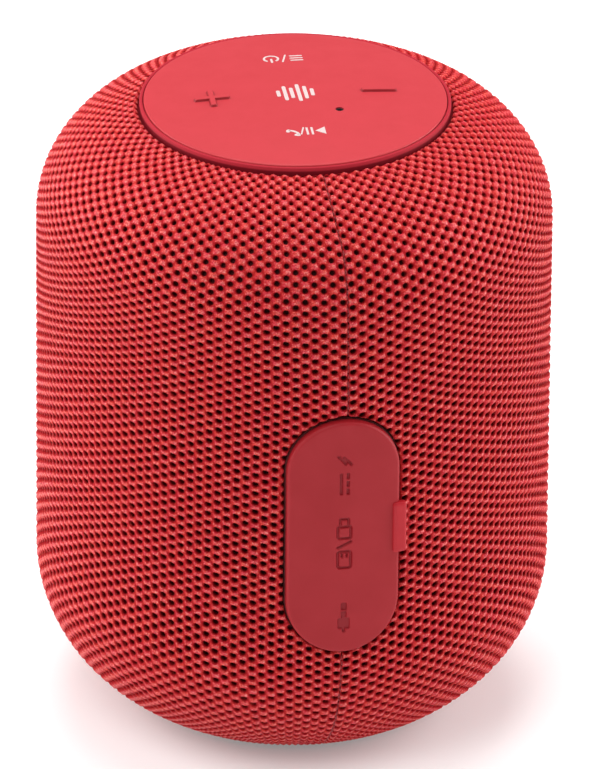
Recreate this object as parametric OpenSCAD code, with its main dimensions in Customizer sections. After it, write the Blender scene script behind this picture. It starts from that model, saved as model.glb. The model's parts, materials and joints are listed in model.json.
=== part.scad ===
// Portable bluetooth speaker: a drum-shaped housing in a knitted sleeve, with a
// round control pad on top and a silicone flap over the sockets.
// Millimetres. Z is up and z = 0 is the face it stands on, under the middle.
// The driver fires towards +Y. The sockets and the sleeve's seam are at -Y.

/* [Body] */
// Outside diameter over the knitted sleeve
body_d = 84; // [83:0.5:86]
// Height at which the lower shoulder ends and the straight wall begins
wall_low_z = 26.7; // [26.4:0.1:27]
// Height at which the straight wall ends and the upper shoulder begins
wall_high_z = 86.2; // [86:0.1:86.6]
// Thickness of the sleeve, knit and foam backing together
fabric_t = 1.25; // [1:0.05:1.3]
// Wall of the two moulded shells
shell_t = 2; // [1.6:0.1:2.2]

/* [Control pad] */
// Diameter of the ring around the pad
cap_d = 50.4; // [50.2:0.1:50.8]
// Height of the middle of the pad
cap_top_z = 107.45; // [107.2:0.05:107.8]
// Rise of the pad from its rim to its middle
cap_dome = 1.1; // [0.6:0.1:1.4]
// Distance of the four keys from the middle
key_ring_r = 13.6; // [13:0.1:14]
// Diameter of each key
key_d = 9.8; // [9:0.1:10]
// Travel of a key
key_travel = 0.3; // [0.2:0.05:0.4]
// Width of the raised plus and minus
sign_w = 5.6; // [4:0.1:6]
// Turn of the pad against the socket side, in degrees
pad_turn = -3.3; // [-5:0.1:5]

/* [Port cover] */
// Width of the silicone flap
cover_w = 18.4; // [18.2:0.1:18.8]
// Height of the silicone flap
cover_h = 41.5; // [41:0.1:42.4]
// Height of the flap's middle
cover_z = 48.35; // [48:0.05:49]
// Thickness of the flap
cover_t = 1.7; // [1.4:0.1:1.8]
// Height of the pull tab
tab_h = 9; // [8:0.5:11]

/* [Driver] */
// Diameter of the driver's flange
driver_d = 52; // [50:0.5:52]
// Height of the driver's axis
driver_z = 53; // [52:0.5:54]
// Number of slots in the grille behind the sleeve
grille_slots = 9; // [7:2:11]

/* [Battery] */
// Diameter of the cell
cell_d = 18.4; // [18:0.1:18.6]
// Length of the cell
cell_l = 65; // [64:0.5:65.5]

/* [Hidden] */
$fn = 96;

// Gaps
hair = 0.05;            // between faces that touch
slide_gap = 0.1;        // around a part that slides
far = 200;              // longer than the part
behind_y = -20;         // behind every piece of the port pocket

// Outline of the body: two quarter ellipses and the straight wall between them
body_r = body_d / 2;
top_centre_r = body_r - 22.5;
top_rise = 20.05;
low_centre_r = body_r - 33;
low_drop = 29.1;
arc_steps = 16;

// Shells
shell_gap = 0.1;                    // between sleeve and shell
shell_inset = fabric_t + shell_gap;
cavity_inset = shell_inset + shell_t;
cavity_r = body_r - cavity_inset;
split_gap = 0.02;                   // each shell stops this far from y = 0

// Control pad and its frame
cap_r = cap_d / 2;
pad_r = cap_r - 0.65;
pad_rim_z = cap_top_z - cap_dome;
dome_r = (pow(pad_r, 2) + pow(cap_dome, 2)) / (2 * cap_dome);
ring_top_z = pad_rim_z - 0.15;
pad_low_z = 104.55;
lip_out = 0.55;                     // step of the frame's lip past its wall
lip_top_z = 105;
lip_low_z = 104.4;
frame_wall_t = 2;
frame_low_z = 98.05;
frame_floor_top = 99.5;
seat_z = 98;                        // top of the ledge in the shells
seat_t = 2;
seat_hole_r = 19;
cap_bore_r = cap_r + 0.4;
sleeve_cap_r = cap_r + 0.7;         // edge of the sleeve around the cap

// Boards and switches under the pad
board_r = 19;
board_z = 100.2;
board_t = 1.2;
board_top = board_z + board_t;
switch_w = 5.2;
switch_h = 1.5;
plunger_r = 1.3;
plunger_low = board_top + 0.5;
plunger_top = board_top + switch_h + 0.4;
mic_r_from_middle = 9.05;
mic_angle = pad_turn - 46;
mic_hole_r = 0.7;
cap_screw_r = 21.2;
board_screw_r = 16.2;
key_angles = [0, 90, 180, 270];
post_r = 1.6;                       // post under each key
sign_rise = 0.35;                   // raised signs over the dome

// Base
base_r = 23.5;
base_bore_r = base_r + 0.1;
base_low_z = 0.7;
base_top_z = 3.95;
base_seat_z = 4;
base_seat_t = 2;
foot_r = 22;
foot_top_z = 1.45;
base_screw_r = 18;

// Port pocket and flap
flap_gap = 0.27;                    // around the flap, to the sleeve
flange_r = body_r - 0.9;            // face of the bezel's flange
flange_t = 1.2;
flange_w = cover_w + 0.24;
flange_h = cover_h + 0.24;
pocket_w = cover_w - 4.06;
pocket_h = cover_h - 4;
pocket_wall = 1.2;
pocket_floor_y = 4.8 - body_r;
pocket_floor_t = 1.5;
cover_in_r = flange_r + slide_gap;
cover_out_r = cover_in_r + cover_t;
rib_gap = 0.4;
rib_t = 1.2;
rib_y = 3.1 - body_r;
tab_from = 10.8;                    // degrees from the flap's middle
tab_to = 13.95;
tab_z = cover_z + 0.8;
tether_x = -8.3;
tether_t = 0.8;
tether_h = 9.2;
tether_end_y = 6.7 - body_r;

// Main board, standing upright behind the sockets
pcb_x = -3;
pcb_t = 1.6;
pcb_face = pcb_x + pcb_t;           // its +X face
pcb_y = [-35.2, -3];
pcb_z = [23.6, 75];
lug_z = [25.6, 72.9];
lug_y = [-33, -20];
lug_h = 4;
lug_t = 3.5;
socket_y = 5 - body_r;              // mouths of the sockets
card_and_usb_z = cover_z - 0.95;
charge_z = cover_z + 11.25;
jack_z = cover_z - 14.35;
usb_size = [5.7, 14, 13.1];         // across the board, deep, high
charge_size = [2.6, 5.6, 7.5];
card_size = [1.9, 15, 14];
jack_r = 1.8;
jack_depth = 14;
socket_gap = 0.2;                   // around each socket, in the pocket's floor
jack_half = 2.6;
jack_x = pcb_face + jack_half;
capacitor_r = 2.5;
capacitor_h = 5.4;
capacitor_y = [-18.5, -12.5];
capacitor_z = 31;

// Battery
cell_x = 19;
cell_y = -13.5;
cell_low_z = 17.2;
cell_angle = atan2(cell_y, cell_x);
cell_from_axis = norm([cell_x, cell_y]);
cradle_in_r = cell_d / 2 + 0.15;
cradle_t = 1.6;
cradle_end = 1.4;
cradle_head_z = 0.95;               // underside of the screws' heads, past the cell
cradle_screw_z = [32, 68];

// Driver, along +Y
flange_y = 24.8;
flange_front = 26;
baffle_y = 27;
baffle_in_r = 24.2;
ear_r = 27.5;
ear_angles = [45, 135, 225, 315];
coil_r = 6.45;
coil_t = 0.55;
cone_small_r = coil_r + coil_t + hair;
cone_low_y = 16.2;
cone_high_y = 23.7;
cone_edge_r = 20.3;
spider_y = 14.7;
magnet_r = 17.5;
ledge_y = 24.2;                     // the basket's step that holds the surround
roll_r = 1.85;                      // half-round roll of the surround
roll_t = 0.4;
roll_middle_r = 22.25;
roll_y = ledge_y + 0.1;

// Screws: two sizes
shank_r = 0.85;
pilot_r = 0.92;
clear_r = 1.15;
head_r = 1.7;
head_h = 1;
shell_screw_l = 14.5;
cap_screw_l = 6;
button_board_screw_l = 3;
base_screw_l = 6.4;
main_board_screw_l = 4;
cradle_screw_l = 4.4;
driver_screw_l = 6.5;
boss_x = 33.5;
boss_z = [18, 88];
boss_r = 3.2;
boss_seat_y = -8;

sleeve_red = [0.85, 0.18, 0.2];
pad_red = [0.87, 0.27, 0.31];
cover_red = [0.62, 0.17, 0.22];
tab_red = [0.78, 0.18, 0.22];
shell_red = [0.35, 0.05, 0.06];
board_green = [0.08, 0.35, 0.2];
steel = [0.75, 0.76, 0.78];
dark = [0.12, 0.12, 0.13];

// ---------- shapes used by several parts ----------

// Points of the outer profile, moved inwards by inset
function profile(inset) = concat(
    [[0, wall_low_z - low_drop + inset]],
    [for (i = [0 : arc_steps]) let (a = -90 + 90 * i / arc_steps)
        [low_centre_r + (body_r - low_centre_r - inset) * cos(a),
         wall_low_z + (low_drop - inset) * sin(a)]],
    [for (i = [0 : arc_steps]) let (a = 90 * i / arc_steps)
        [top_centre_r + (body_r - top_centre_r - inset) * cos(a),
         wall_high_z + (top_rise - inset) * sin(a)]],
    [[0, wall_high_z + top_rise - inset]]);

module drum(inset) {
    rotate_extrude() polygon(profile(inset));
}

module disc(r, z0, z1) {
    translate([0, 0, z0]) cylinder(r = r, h = z1 - z0);
}

module ring(r_in, r_out, z0, z1) {
    difference() {
        disc(r_out, z0, z1);
        disc(r_in, z0 - 1, z1 + 1);
    }
}

// A box from its lowest to its highest corner
module block(low, high) {
    translate(low) cube(high - low);
}

// Copies a child to each angle, at a distance from the middle
module around(r, angles) {
    for (a = angles) rotate([0, 0, a]) translate([r, 0, 0]) children();
}

module stadium(w, h) {
    square([w, h - w], center = true);
    for (s = [-1, 1]) translate([0, s * (h - w) / 2]) circle(d = w);
}

// Upright stadium-shaped prism at the socket pocket, between two depths
module port_prism(w, h, y0, y1) {
    translate([0, y1, cover_z]) rotate([90, 0, 0]) linear_extrude(y1 - y0) stadium(w, h);
}

// Tube wall about Z over the whole height, from one radius to another
module skin_band(r_in, r_out) {
    ring(r_in, r_out, 0, cap_top_z);
}

// Cross-head screw, head upwards, under side of the head at z = 0
module screw(length) {
    difference() {
        union() {
            translate([0, 0, -length]) cylinder(r = shank_r, h = length + hair);
            cylinder(r = head_r, h = head_h);
        }
        for (a = [0, 90]) rotate([0, 0, a])
            translate([-1, -0.2, head_h - 0.5]) cube([2, 0.4, 1]);
    }
}

// Turns +Z to +Y and back
module to_y() {
    rotate([-90, 0, 0]) children();
}

// A wire through a list of points
module wire(points, r) {
    for (i = [0 : len(points) - 2]) {
        step = points[i + 1] - points[i];
        translate(points[i])
            rotate([0, acos(step[2] / norm(step)), atan2(step[1], step[0])])
                cylinder(r = r, h = norm(step), $fn = 24);
    }
    for (i = [1 : len(points) - 2]) translate(points[i]) sphere(r = r * 1.08, $fn = 24);
}

// Puts a child on the driver's axis, pointing along +Y from y = 0
module on_driver() {
    translate([0, 0, driver_z]) to_y() children();
}

// ---------- sleeve ----------

module fabric_sleeve() color(sleeve_red) difference() {
    drum(0);
    drum(fabric_t);
    disc(sleeve_cap_r, wall_high_z, far);
    disc(base_bore_r + 0.1, -far, 10);
    port_prism(cover_w + 2 * flap_gap, cover_h + 2 * flap_gap, -far, behind_y);
    seam_channel(0.4, -1, 0.5);
}

// Upright strip at the seam, between two insets
module seam_channel(half_w, inset_out, inset_in) {
    difference() {
        intersection() {
            drum(inset_out);
            block([-half_w, -far, -10], [half_w, behind_y, far]);
        }
        drum(inset_in);
    }
}

module seam_thread() color([0.5, 0.05, 0.08]) difference() {
    seam_channel(0.3, 0.1, 0.45);
    disc(sleeve_cap_r, wall_high_z, far);
    disc(base_bore_r + 0.1, -far, 10);
    port_prism(cover_w + 2 * flap_gap, cover_h + 2 * flap_gap, -far, behind_y);
}

// ---------- shells ----------

// Wall, the ledge for the control pad and the ledge for the base, both halves
module shell_body() {
    difference() {
        union() {
            difference() {
                drum(shell_inset);
                drum(cavity_inset);
            }
            intersection() {
                drum(shell_inset);
                union() {
                    ring(seat_hole_r, cavity_r, seat_z - seat_t, seat_z);
                    ring(cap_bore_r, cap_bore_r + 1.6, seat_z - seat_t, far);
                    around(cap_screw_r, ear_angles) disc(2.6, seat_z - 6, seat_z);
                    ring(14.5, base_bore_r + 3, base_seat_z, base_seat_z + base_seat_t);
                    ring(base_bore_r, base_bore_r + 1.6, 0, base_seat_z + base_seat_t);
                    around(base_screw_r, ear_angles) disc(2.4, base_seat_z, 10.5);
                }
            }
        }
        disc(cap_bore_r, seat_z, far);
        disc(base_bore_r, -far, base_seat_z);
        around(cap_screw_r, ear_angles) disc(pilot_r, 80, far);
        around(base_screw_r, ear_angles) disc(pilot_r, -far, 9.5);
    }
}

module front_shell() color(shell_red) difference() {
    union() {
        intersection() {
            shell_body();
            block([-far, split_gap, -far], [far, far, far]);
        }
        intersection() {
            drum(shell_inset);
            union() {
                driver_collar();
                shell_bosses(split_gap, 24);
            }
        }
    }
    grille();
    each_boss() to_y() disc(pilot_r, -1, 7.5);
    at_ears() disc(pilot_r, baffle_y - 1, 32);
}

module driver_collar() {
    on_driver() ring(baffle_in_r, 28.5, baffle_y, far);
    at_ears() disc(3.2, baffle_y, far);
}

module at_ears() {
    on_driver() around(ear_r, ear_angles) children();
}

// Slots across the driver's mouth, with an upright rib in the middle
module grille() {
    pitch = 2 * (baffle_in_r - 2.2) / (grille_slots + 1);
    for (i = [1 : grille_slots]) {
        dz = -(baffle_in_r - 2.2) + i * pitch;
        half = sqrt(pow(baffle_in_r - 1.5, 2) - pow(dz, 2));
        for (s = [-1, 1])
            block([min(s * 1, s * half), baffle_y, driver_z + dz - pitch * 0.3],
                  [max(s * 1, s * half), far, driver_z + dz + pitch * 0.3]);
    }
}

module each_boss() {
    for (x = [-boss_x, boss_x], z = boss_z) translate([x, 0, z]) children();
}

module shell_bosses(y0, y1) {
    each_boss() to_y() disc(boss_r, y0, y1);
}

module rear_shell() color(shell_red) difference() {
    union() {
        intersection() {
            shell_body();
            block([-far, -far, -far], [far, -split_gap, far]);
        }
        intersection() {
            drum(shell_inset);
            union() {
                shell_bosses(-24, -split_gap);
                board_lugs();
                cradle_posts();
            }
        }
    }
    port_prism(pocket_w + 2 * pocket_wall + 0.3, pocket_h + 2 * pocket_wall + 0.3, -far, -30);
    flange_recess();
    tether_slot();
    each_boss() to_y() {
        disc(clear_r, -30, 1);
        disc(boss_r - 0.9, -far, boss_seat_y);
    }
    for (y = lug_y, z = lug_z)
        translate([pcb_x, y, z]) rotate([0, -90, 0]) disc(pilot_r, -1, 3.1);
    cradle_holes(pilot_r);
}

module flange_recess() {
    intersection() {
        port_prism(flange_w + 0.2, flange_h + 0.2, -far, behind_y);
        skin_band(flange_r - flange_t - hair, far);
    }
}

module board_lugs() {
    for (z = lug_z)
        block([pcb_x - lug_t - hair, -body_r, z - lug_h / 2],
              [pcb_x - hair, lug_y[1] + 3, z + lug_h / 2]);
}

// Puts a child at each cradle screw, pointing outwards from the cell's axis
module at_cradle_screws() {
    for (z = cradle_screw_z)
        rotate([0, 0, cell_angle]) translate([cell_from_axis, 0, z]) rotate([0, 90, 0]) children();
}

module cradle_posts() {
    at_cradle_screws() disc(3, cradle_in_r + cradle_t + hair, 30);
}

module cradle_holes(r) {
    at_cradle_screws() disc(r, cradle_in_r - 2, cradle_in_r + cradle_t + 4);
}

module shell_screws() color(steel) {
    each_boss() translate([0, boss_seat_y - hair, 0]) rotate([90, 0, 0]) screw(shell_screw_l);
}

// ---------- port pocket and flap ----------

module port_bezel() color(shell_red) difference() {
    union() {
        intersection() {
            port_prism(flange_w, flange_h, -far, behind_y);
            skin_band(flange_r - flange_t, flange_r);
        }
        intersection() {
            port_prism(pocket_w + 2 * pocket_wall, pocket_h + 2 * pocket_wall,
                       -far, pocket_floor_y + pocket_floor_t);
            skin_band(0, flange_r);
        }
    }
    port_prism(pocket_w, pocket_h, -far, pocket_floor_y);
    socket_openings();
    tether_slot();
}

// Slot through the pocket and the shell for the flap's tongue
module tether_slot() {
    half_w = tether_t / 2 + slide_gap;
    half_h = tether_h / 2 + 0.2;
    block([tether_x - half_w, -far, cover_z - half_h],
          [tether_x + half_w, behind_y, cover_z + half_h]);
}

// Opening for a socket that starts at x0 and is as large as size
module socket_opening(x0, z_mid, size) {
    block([x0 - socket_gap, -far, z_mid - size[2] / 2 - socket_gap],
          [x0 + size[0] + socket_gap, behind_y, z_mid + size[2] / 2 + socket_gap]);
}

module socket_openings() {
    socket_opening(pcb_face, card_and_usb_z, usb_size);
    socket_opening(pcb_x - card_size[0], card_and_usb_z, card_size);
    socket_opening(pcb_face, charge_z, charge_size);
    translate([jack_x, 0, jack_z]) to_y() disc(jack_half + socket_gap, -far, behind_y);
}

module port_cover() {
    color(cover_red) {
        intersection() {
            port_prism(cover_w, cover_h, -far, behind_y);
            skin_band(cover_in_r, cover_out_r);
        }
        plug_rib();
    }
    color(tab_red) pull_tab();
}

// Low wall on the back of the flap that presses into the pocket
module plug_rib() {
    w = pocket_w - 2 * rib_gap;
    h = pocket_h - 2 * rib_gap;
    difference() {
        intersection() {
            port_prism(w, h, -far, rib_y);
            skin_band(0, cover_in_r + 0.2);
        }
        port_prism(w - 2 * rib_t, h - 2 * rib_t, -far, 0);
    }
}

module pull_tab() {
    intersection() {
        ring(body_r + 0.1, cover_out_r + 0.5, tab_z - tab_h / 2, tab_z + tab_h / 2);
        rotate([0, 0, tab_from]) block([0, -far, 0], [far, 0, far]);
        rotate([0, 0, tab_to]) block([-far, -far, 0], [0, 0, far]);
    }
}

// Tongue on the flap's left side, held by a barb behind the pocket
module cover_tether() color(cover_red) {
    half_h = tether_h / 2;
    start_y = -sqrt(pow(cover_in_r - 0.08, 2) - pow(tether_x - tether_t / 2, 2));
    block([tether_x - tether_t / 2, start_y, cover_z - half_h],
          [tether_x + tether_t / 2, tether_end_y, cover_z + half_h]);
    block([tether_x - 1, tether_end_y - 0.01, cover_z - half_h],
          [tether_x + 1, tether_end_y + 1, cover_z + half_h]);
}

// ---------- control pad ----------

module cap_frame() color([0.7, 0.16, 0.2]) difference() {
    union() {
        ring(cap_r - frame_wall_t, cap_r, frame_low_z, pad_low_z - hair);
        ring(pad_r + 0.1, cap_r, frame_low_z, ring_top_z);
        ring(cap_r - 0.1, cap_r + lip_out, lip_low_z, lip_top_z);
        ring(8, cap_r - 0.5, frame_low_z, frame_floor_top);
        around(board_screw_r, ear_angles) disc(2.2, frame_low_z, board_z - hair);
    }
    around(cap_screw_r, ear_angles) disc(clear_r, 0, far);
    around(board_screw_r, ear_angles) disc(pilot_r, frame_low_z - 1, far);
}

module cap_screws() color(steel) {
    around(cap_screw_r, ear_angles) translate([0, 0, frame_floor_top + hair]) screw(cap_screw_l);
}

// Everything under the pad's domed face, raised by rise
module under_dome(rise) {
    translate([0, 0, cap_top_z - dome_r]) sphere(r = dome_r + rise, $fn = 360);
}

module control_pad() color(pad_red) difference() {
    intersection() {
        disc(pad_r, pad_low_z, far);
        under_dome(0);
    }
    at_keys(key_angles) disc(key_d / 2 + slide_gap, 90, far);
    at_microphone() disc(mic_hole_r, 90, far);
}

// Copies a child to the keys at these angles
module at_keys(angles) {
    rotate([0, 0, pad_turn]) around(key_ring_r, angles) children();
}

module key(angle) {
    intersection() {
        at_keys([angle]) disc(key_d / 2, pad_low_z + 0.4, far);
        under_dome(0);
    }
    at_keys([angle]) disc(post_r, plunger_top + 0.02, pad_low_z + 0.5);
}

module raised_bar(angle, w, l) {
    intersection() {
        at_keys([angle]) block([-w / 2, -l / 2, pad_rim_z - 1], [w / 2, l / 2, far]);
        under_dome(sign_rise);
    }
}

module key_plus() color(pad_red) {
    key(180);
    raised_bar(180, 0.8, sign_w);
    raised_bar(180, sign_w, 0.8);
}

module key_minus() color(pad_red) {
    key(0);
    raised_bar(0, sign_w, 1);
}

module key_mode() color(pad_red) key(90);

module key_play() color(pad_red) key(270);

module plunger(angle) color(dark) {
    at_keys([angle]) disc(plunger_r, plunger_low, plunger_top);
}

module plunger_plus() plunger(180);

module plunger_minus() plunger(0);

module plunger_mode() plunger(90);

module plunger_play() plunger(270);

module switch_bodies() color(steel) {
    half = switch_w / 2;
    at_keys(key_angles) difference() {
        block([-half, -half, board_top + 0.02], [half, half, board_top + switch_h]);
        disc(plunger_r + slide_gap, plunger_low - key_travel - hair, far);
    }
}

module button_board() color(board_green) difference() {
    disc(board_r, board_z, board_top);
    around(board_screw_r, ear_angles) disc(clear_r, 0, far);
}

module button_board_screws() color(steel) {
    around(board_screw_r, ear_angles)
        translate([0, 0, board_top + hair]) screw(button_board_screw_l);
}

module at_microphone() {
    around(mic_r_from_middle, [mic_angle]) children();
}

module microphone() color(steel) difference() {
    at_microphone() disc(2.2, board_top + 0.02, board_top + 1.3);
    at_microphone() disc(0.4, board_top + 0.8, far);
}

module mic_gasket() color(dark) at_microphone() ring(1, 2.2, board_top + 1.33, pad_low_z - hair);

module button_cable() color(dark) {
    wire([[0, 0, board_z - 1.8], [0.6, -3, 89], [0.4, -11, 81], [0.1, -14, 72.3]], 0.9);
}

// ---------- base ----------

module base_plate() color(shell_red) difference() {
    disc(base_r, base_low_z, base_top_z);
    disc(foot_r + 0.1, -1, foot_top_z + hair);
    around(base_screw_r, ear_angles) {
        disc(clear_r, -1, far);
        disc(head_r + 0.3, -1, foot_top_z + head_h + 0.15);
    }
}

module base_screws() color(steel) {
    around(base_screw_r, ear_angles)
        translate([0, 0, foot_top_z + head_h + 0.1]) rotate([180, 0, 0]) screw(base_screw_l);
}

// Silicone foot with a softened edge and one ring groove
module foot_pad() color(dark) {
    soft = 0.5;
    difference() {
        rotate_extrude() polygon([
            [0, 0], [foot_r - soft, 0], [foot_r, soft], [foot_r, foot_top_z], [0, foot_top_z]
        ]);
        ring(foot_r - 3.2, foot_r - 2.4, -1, 0.3);
    }
}

// ---------- boards and sockets ----------

module main_board() color(board_green) difference() {
    block([pcb_x, pcb_y[0], pcb_z[0]], [pcb_face, pcb_y[1], pcb_z[1]]);
    for (y = lug_y, z = lug_z) translate([0, y, z]) rotate([0, 90, 0]) disc(clear_r, -10, 10);
}

module main_board_screws() color(steel) {
    for (y = lug_y, z = lug_z)
        translate([pcb_face + hair, y, z]) rotate([0, 90, 0]) screw(main_board_screw_l);
}

// A chip on the +X face (side 1) or the -X face (side -1)
module chip(side, y, z, w, h, t) {
    x = side > 0 ? pcb_face + 0.02 : pcb_x - t - 0.02;
    block([x, y - w / 2, z - h / 2], [x + t, y + w / 2, z + h / 2]);
}

module board_chips() color(dark) {
    chip(1, -16, 58, 8, 8, 1);
    chip(-1, -14, 36, 6, 6, 1);
    chip(1, -16, 42, 5, 6, 1.5);
    chip(-1, -8, 50, 4, 4, 1);
    for (y = capacitor_y)
        translate([pcb_face + 0.02, y, capacitor_z]) rotate([0, 90, 0])
            cylinder(r = capacitor_r, h = capacitor_h);
}

module bluetooth_module() color([0.1, 0.2, 0.45]) chip(-1, -14, 62, 13, 15, 2.2);

// Cable connectors: three on the main board and one under the button board
module wire_sockets() color([0.9, 0.88, 0.82]) {
    chip(1, -14, 70, 6, 4, 2.8);
    chip(1, -7, 62, 4, 4, 2.8);
    chip(1, -7, 30, 4, 4, 2.8);
    block([-3, -1.5, board_z - 1.6], [3, 1.5, board_z - 0.02]);
}

// A socket shell on the +X face, open towards -Y, with a wall and a contact tongue
module socket_shell(z_mid, size, wall, tongue) {
    x = pcb_face + 0.02;
    half_h = size[2] / 2;
    middle = x + size[0] / 2;
    difference() {
        block([x, socket_y, z_mid - half_h], [x + size[0], socket_y + size[1], z_mid + half_h]);
        block([x + wall, socket_y - 1, z_mid - half_h + wall],
              [x + size[0] - wall, socket_y + size[1] - 1, z_mid + half_h - wall]);
    }
    block([middle - tongue / 2, socket_y + 0.8, z_mid - half_h + wall + 0.6],
          [middle + tongue / 2, socket_y + size[1] - 0.5, z_mid + half_h - wall - 0.6]);
}

module usb_socket() color(steel) socket_shell(card_and_usb_z, usb_size, 0.35, 1.8);

module charge_socket() color(steel) socket_shell(charge_z, charge_size, 0.25, 0.6);

module card_socket() color(steel) {
    x = pcb_x - card_size[0] - 0.02;
    z0 = card_and_usb_z - card_size[2] / 2;
    side = 1.3;
    difference() {
        block([x, socket_y, z0], [x + card_size[0], socket_y + card_size[1], z0 + card_size[2]]);
        block([x + 0.3, socket_y - 1, z0 + side],
              [x + card_size[0] - 0.4, socket_y + card_size[1] - 2, z0 + card_size[2] - side]);
    }
}

module audio_jack() color(dark) translate([jack_x, 0, jack_z]) difference() {
    union() {
        block([0.02 - jack_half, socket_y + 2.5, -3], [jack_half, socket_y + jack_depth + 1, 3]);
        to_y() disc(2.55, socket_y, socket_y + 3);
    }
    to_y() disc(jack_r, socket_y - 1, socket_y + jack_depth);
}

// ---------- battery ----------

module at_cell() {
    translate([cell_x, cell_y, 0]) children();
}

module battery_cell() color([0.2, 0.45, 0.75]) at_cell() {
    disc(cell_d / 2, cell_low_z, cell_low_z + cell_l);
    disc(3, cell_low_z + cell_l - 0.1, cell_low_z + cell_l + 0.6);
}

module battery_cradle() color(dark) {
    low = cell_low_z - 0.1;
    high = cell_low_z + cell_l + 0.8;
    difference() {
        intersection() {
            at_cell() union() {
                ring(cradle_in_r, cradle_in_r + cradle_t, low - cradle_end, high + cradle_end);
                disc(cradle_in_r + 0.4, low - cradle_end, low);
                disc(cradle_in_r + 0.4, high, high + cradle_end);
            }
            rotate([0, 0, cell_angle]) block([cell_from_axis - 1.5, -far, 0], [far, far, far]);
        }
        cradle_holes(clear_r);
        at_cradle_screws() disc(head_r + 0.15, 4, cradle_in_r + cradle_head_z + hair);
        rotate([0, 0, cell_angle])
            block([cell_from_axis - 3, -1.5, high - 1], [cell_from_axis + 2, 1.5, far]);
    }
}

module cradle_screws() color(steel) {
    at_cradle_screws() intersection() {
        translate([0, 0, cradle_in_r + cradle_head_z]) rotate([180, 0, 0]) screw(cradle_screw_l);
        disc(3, cradle_in_r + 0.02, 40);
    }
}

module battery_lead() color([0.7, 0.1, 0.1]) {
    wire([[15.5, -11, cell_low_z + cell_l + 0.7], [12, -9.5, 85.5], [4, -7.5, 84],
          [0.1, -7, 76], [0.1, -7, 64.05]], 0.6);
}

// ---------- driver ----------

module driver_basket() color(steel) difference() {
    union() {
        on_driver() difference() {
            rotate_extrude() polygon([
                [7.9, 12], [17.3, 12], [18.6, 13.2], [25, flange_y], [driver_d / 2, flange_y],
                [driver_d / 2, flange_front], [24.3, flange_front], [24.3, ledge_y],
                [22.9, ledge_y], [17.3, 13.2], [7.9, 13.2]
            ]);
            for (a = [0 : 60 : 300]) rotate([0, 0, a]) block([12, -5, 15.8], [far, 5, 22.6]);
        }
        at_ears() difference() {
            disc(3, flange_y, flange_front);
            disc(clear_r, 0, far);
        }
    }
    at_ears() disc(clear_r, 0, far);
}

module driver_gasket() color(dark) on_driver() {
    ring(24.4, driver_d / 2, flange_front + 0.02, baffle_y - 0.02);
}

module driver_screws() color(steel) {
    at_ears() translate([0, 0, flange_y - hair]) rotate([180, 0, 0]) screw(driver_screw_l);
}

module driver_magnet() color([0.25, 0.25, 0.27]) on_driver() ring(10, magnet_r, 2.02, 9.48);

module top_plate() color(steel) on_driver() ring(7.4, 16, 9.5, 11.98);

module pole_yoke() color(steel) on_driver() {
    disc(16, -0.5, 2);
    disc(6.05, 1.9, 12);
}

module voice_coil() color([0.75, 0.42, 0.2]) on_driver() ring(coil_r, coil_r + coil_t, 4.5, 16.6);

module driver_cone() color(dark) on_driver() rotate_extrude() polygon([
    [cone_small_r, cone_low_y], [cone_edge_r, cone_high_y - 0.2], [cone_edge_r, cone_high_y + 0.2],
    [cone_edge_r - 0.4, cone_high_y + 0.2], [cone_small_r, cone_low_y + 0.4]
]);

// Thin dome over the voice coil, its edge resting on the cone
module dust_cap() color(dark) on_driver() {
    edge_r = 9;
    rise = 2.6;
    t = 0.35;
    edge_y = cone_low_y + 1.75;
    r = (pow(edge_r, 2) + pow(rise, 2)) / (2 * rise);
    intersection() {
        difference() {
            translate([0, 0, edge_y + rise - r]) sphere(r = r);
            translate([0, 0, edge_y + rise - r]) sphere(r = r - t);
        }
        disc(edge_r + 1, edge_y, far);
    }
}

// Half-round rubber roll from the cone's edge to the basket
module cone_surround() color(dark) on_driver() rotate_extrude() intersection() {
    translate([roll_middle_r, roll_y]) difference() {
        circle(r = roll_r, $fn = 48);
        circle(r = roll_r - roll_t, $fn = 48);
    }
    translate([cone_edge_r - 5, roll_y]) square(20);
}

module spider() color([0.75, 0.65, 0.3]) on_driver() {
    ring(coil_r + coil_t + 0.1, 17.6, spider_y, spider_y + 0.6);
}

module driver_terminal() color([0.8, 0.7, 0.4]) {
    block([-4, 12, driver_z - 21.6], [4, 13.1, driver_z - 18.7]);
}

module speaker_lead() color(dark) {
    wire([[0, 11.95, driver_z - 20.6], [0, 8, driver_z - 20.6], [0, 0, 32],
          [0.1, -4.7, 30]], 0.6);
}

fabric_sleeve();
seam_thread();
front_shell();
rear_shell();
shell_screws();
port_bezel();
port_cover();
cover_tether();
cap_frame();
cap_screws();
control_pad();
key_plus();
key_minus();
key_mode();
key_play();
plunger_plus();
plunger_minus();
plunger_mode();
plunger_play();
switch_bodies();
button_board();
button_board_screws();
microphone();
mic_gasket();
button_cable();
base_plate();
base_screws();
foot_pad();
main_board();
main_board_screws();
board_chips();
bluetooth_module();
wire_sockets();
usb_socket();
card_socket();
charge_socket();
audio_jack();
battery_cell();
battery_cradle();
cradle_screws();
battery_lead();
driver_basket();
driver_gasket();
driver_screws();
driver_magnet();
top_plate();
pole_yoke();
voice_coil();
driver_cone();
dust_cap();
cone_surround();
spider();
driver_terminal();
speaker_lead();
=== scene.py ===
"""Looks of a portable bluetooth speaker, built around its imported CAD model.

Shapes are worked out in millimetres and turned into metres when a mesh is made.
A direction round the body is an angle phi from -Y, the socket side, towards +X.
"""
import json
from math import acos, atan2, ceil, cos, floor, hypot, pi, radians, sin, sqrt

import bmesh
import bpy
import numpy as np
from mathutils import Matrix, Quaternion, Vector
from mathutils.geometry import delaunay_2d_cdt


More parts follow.
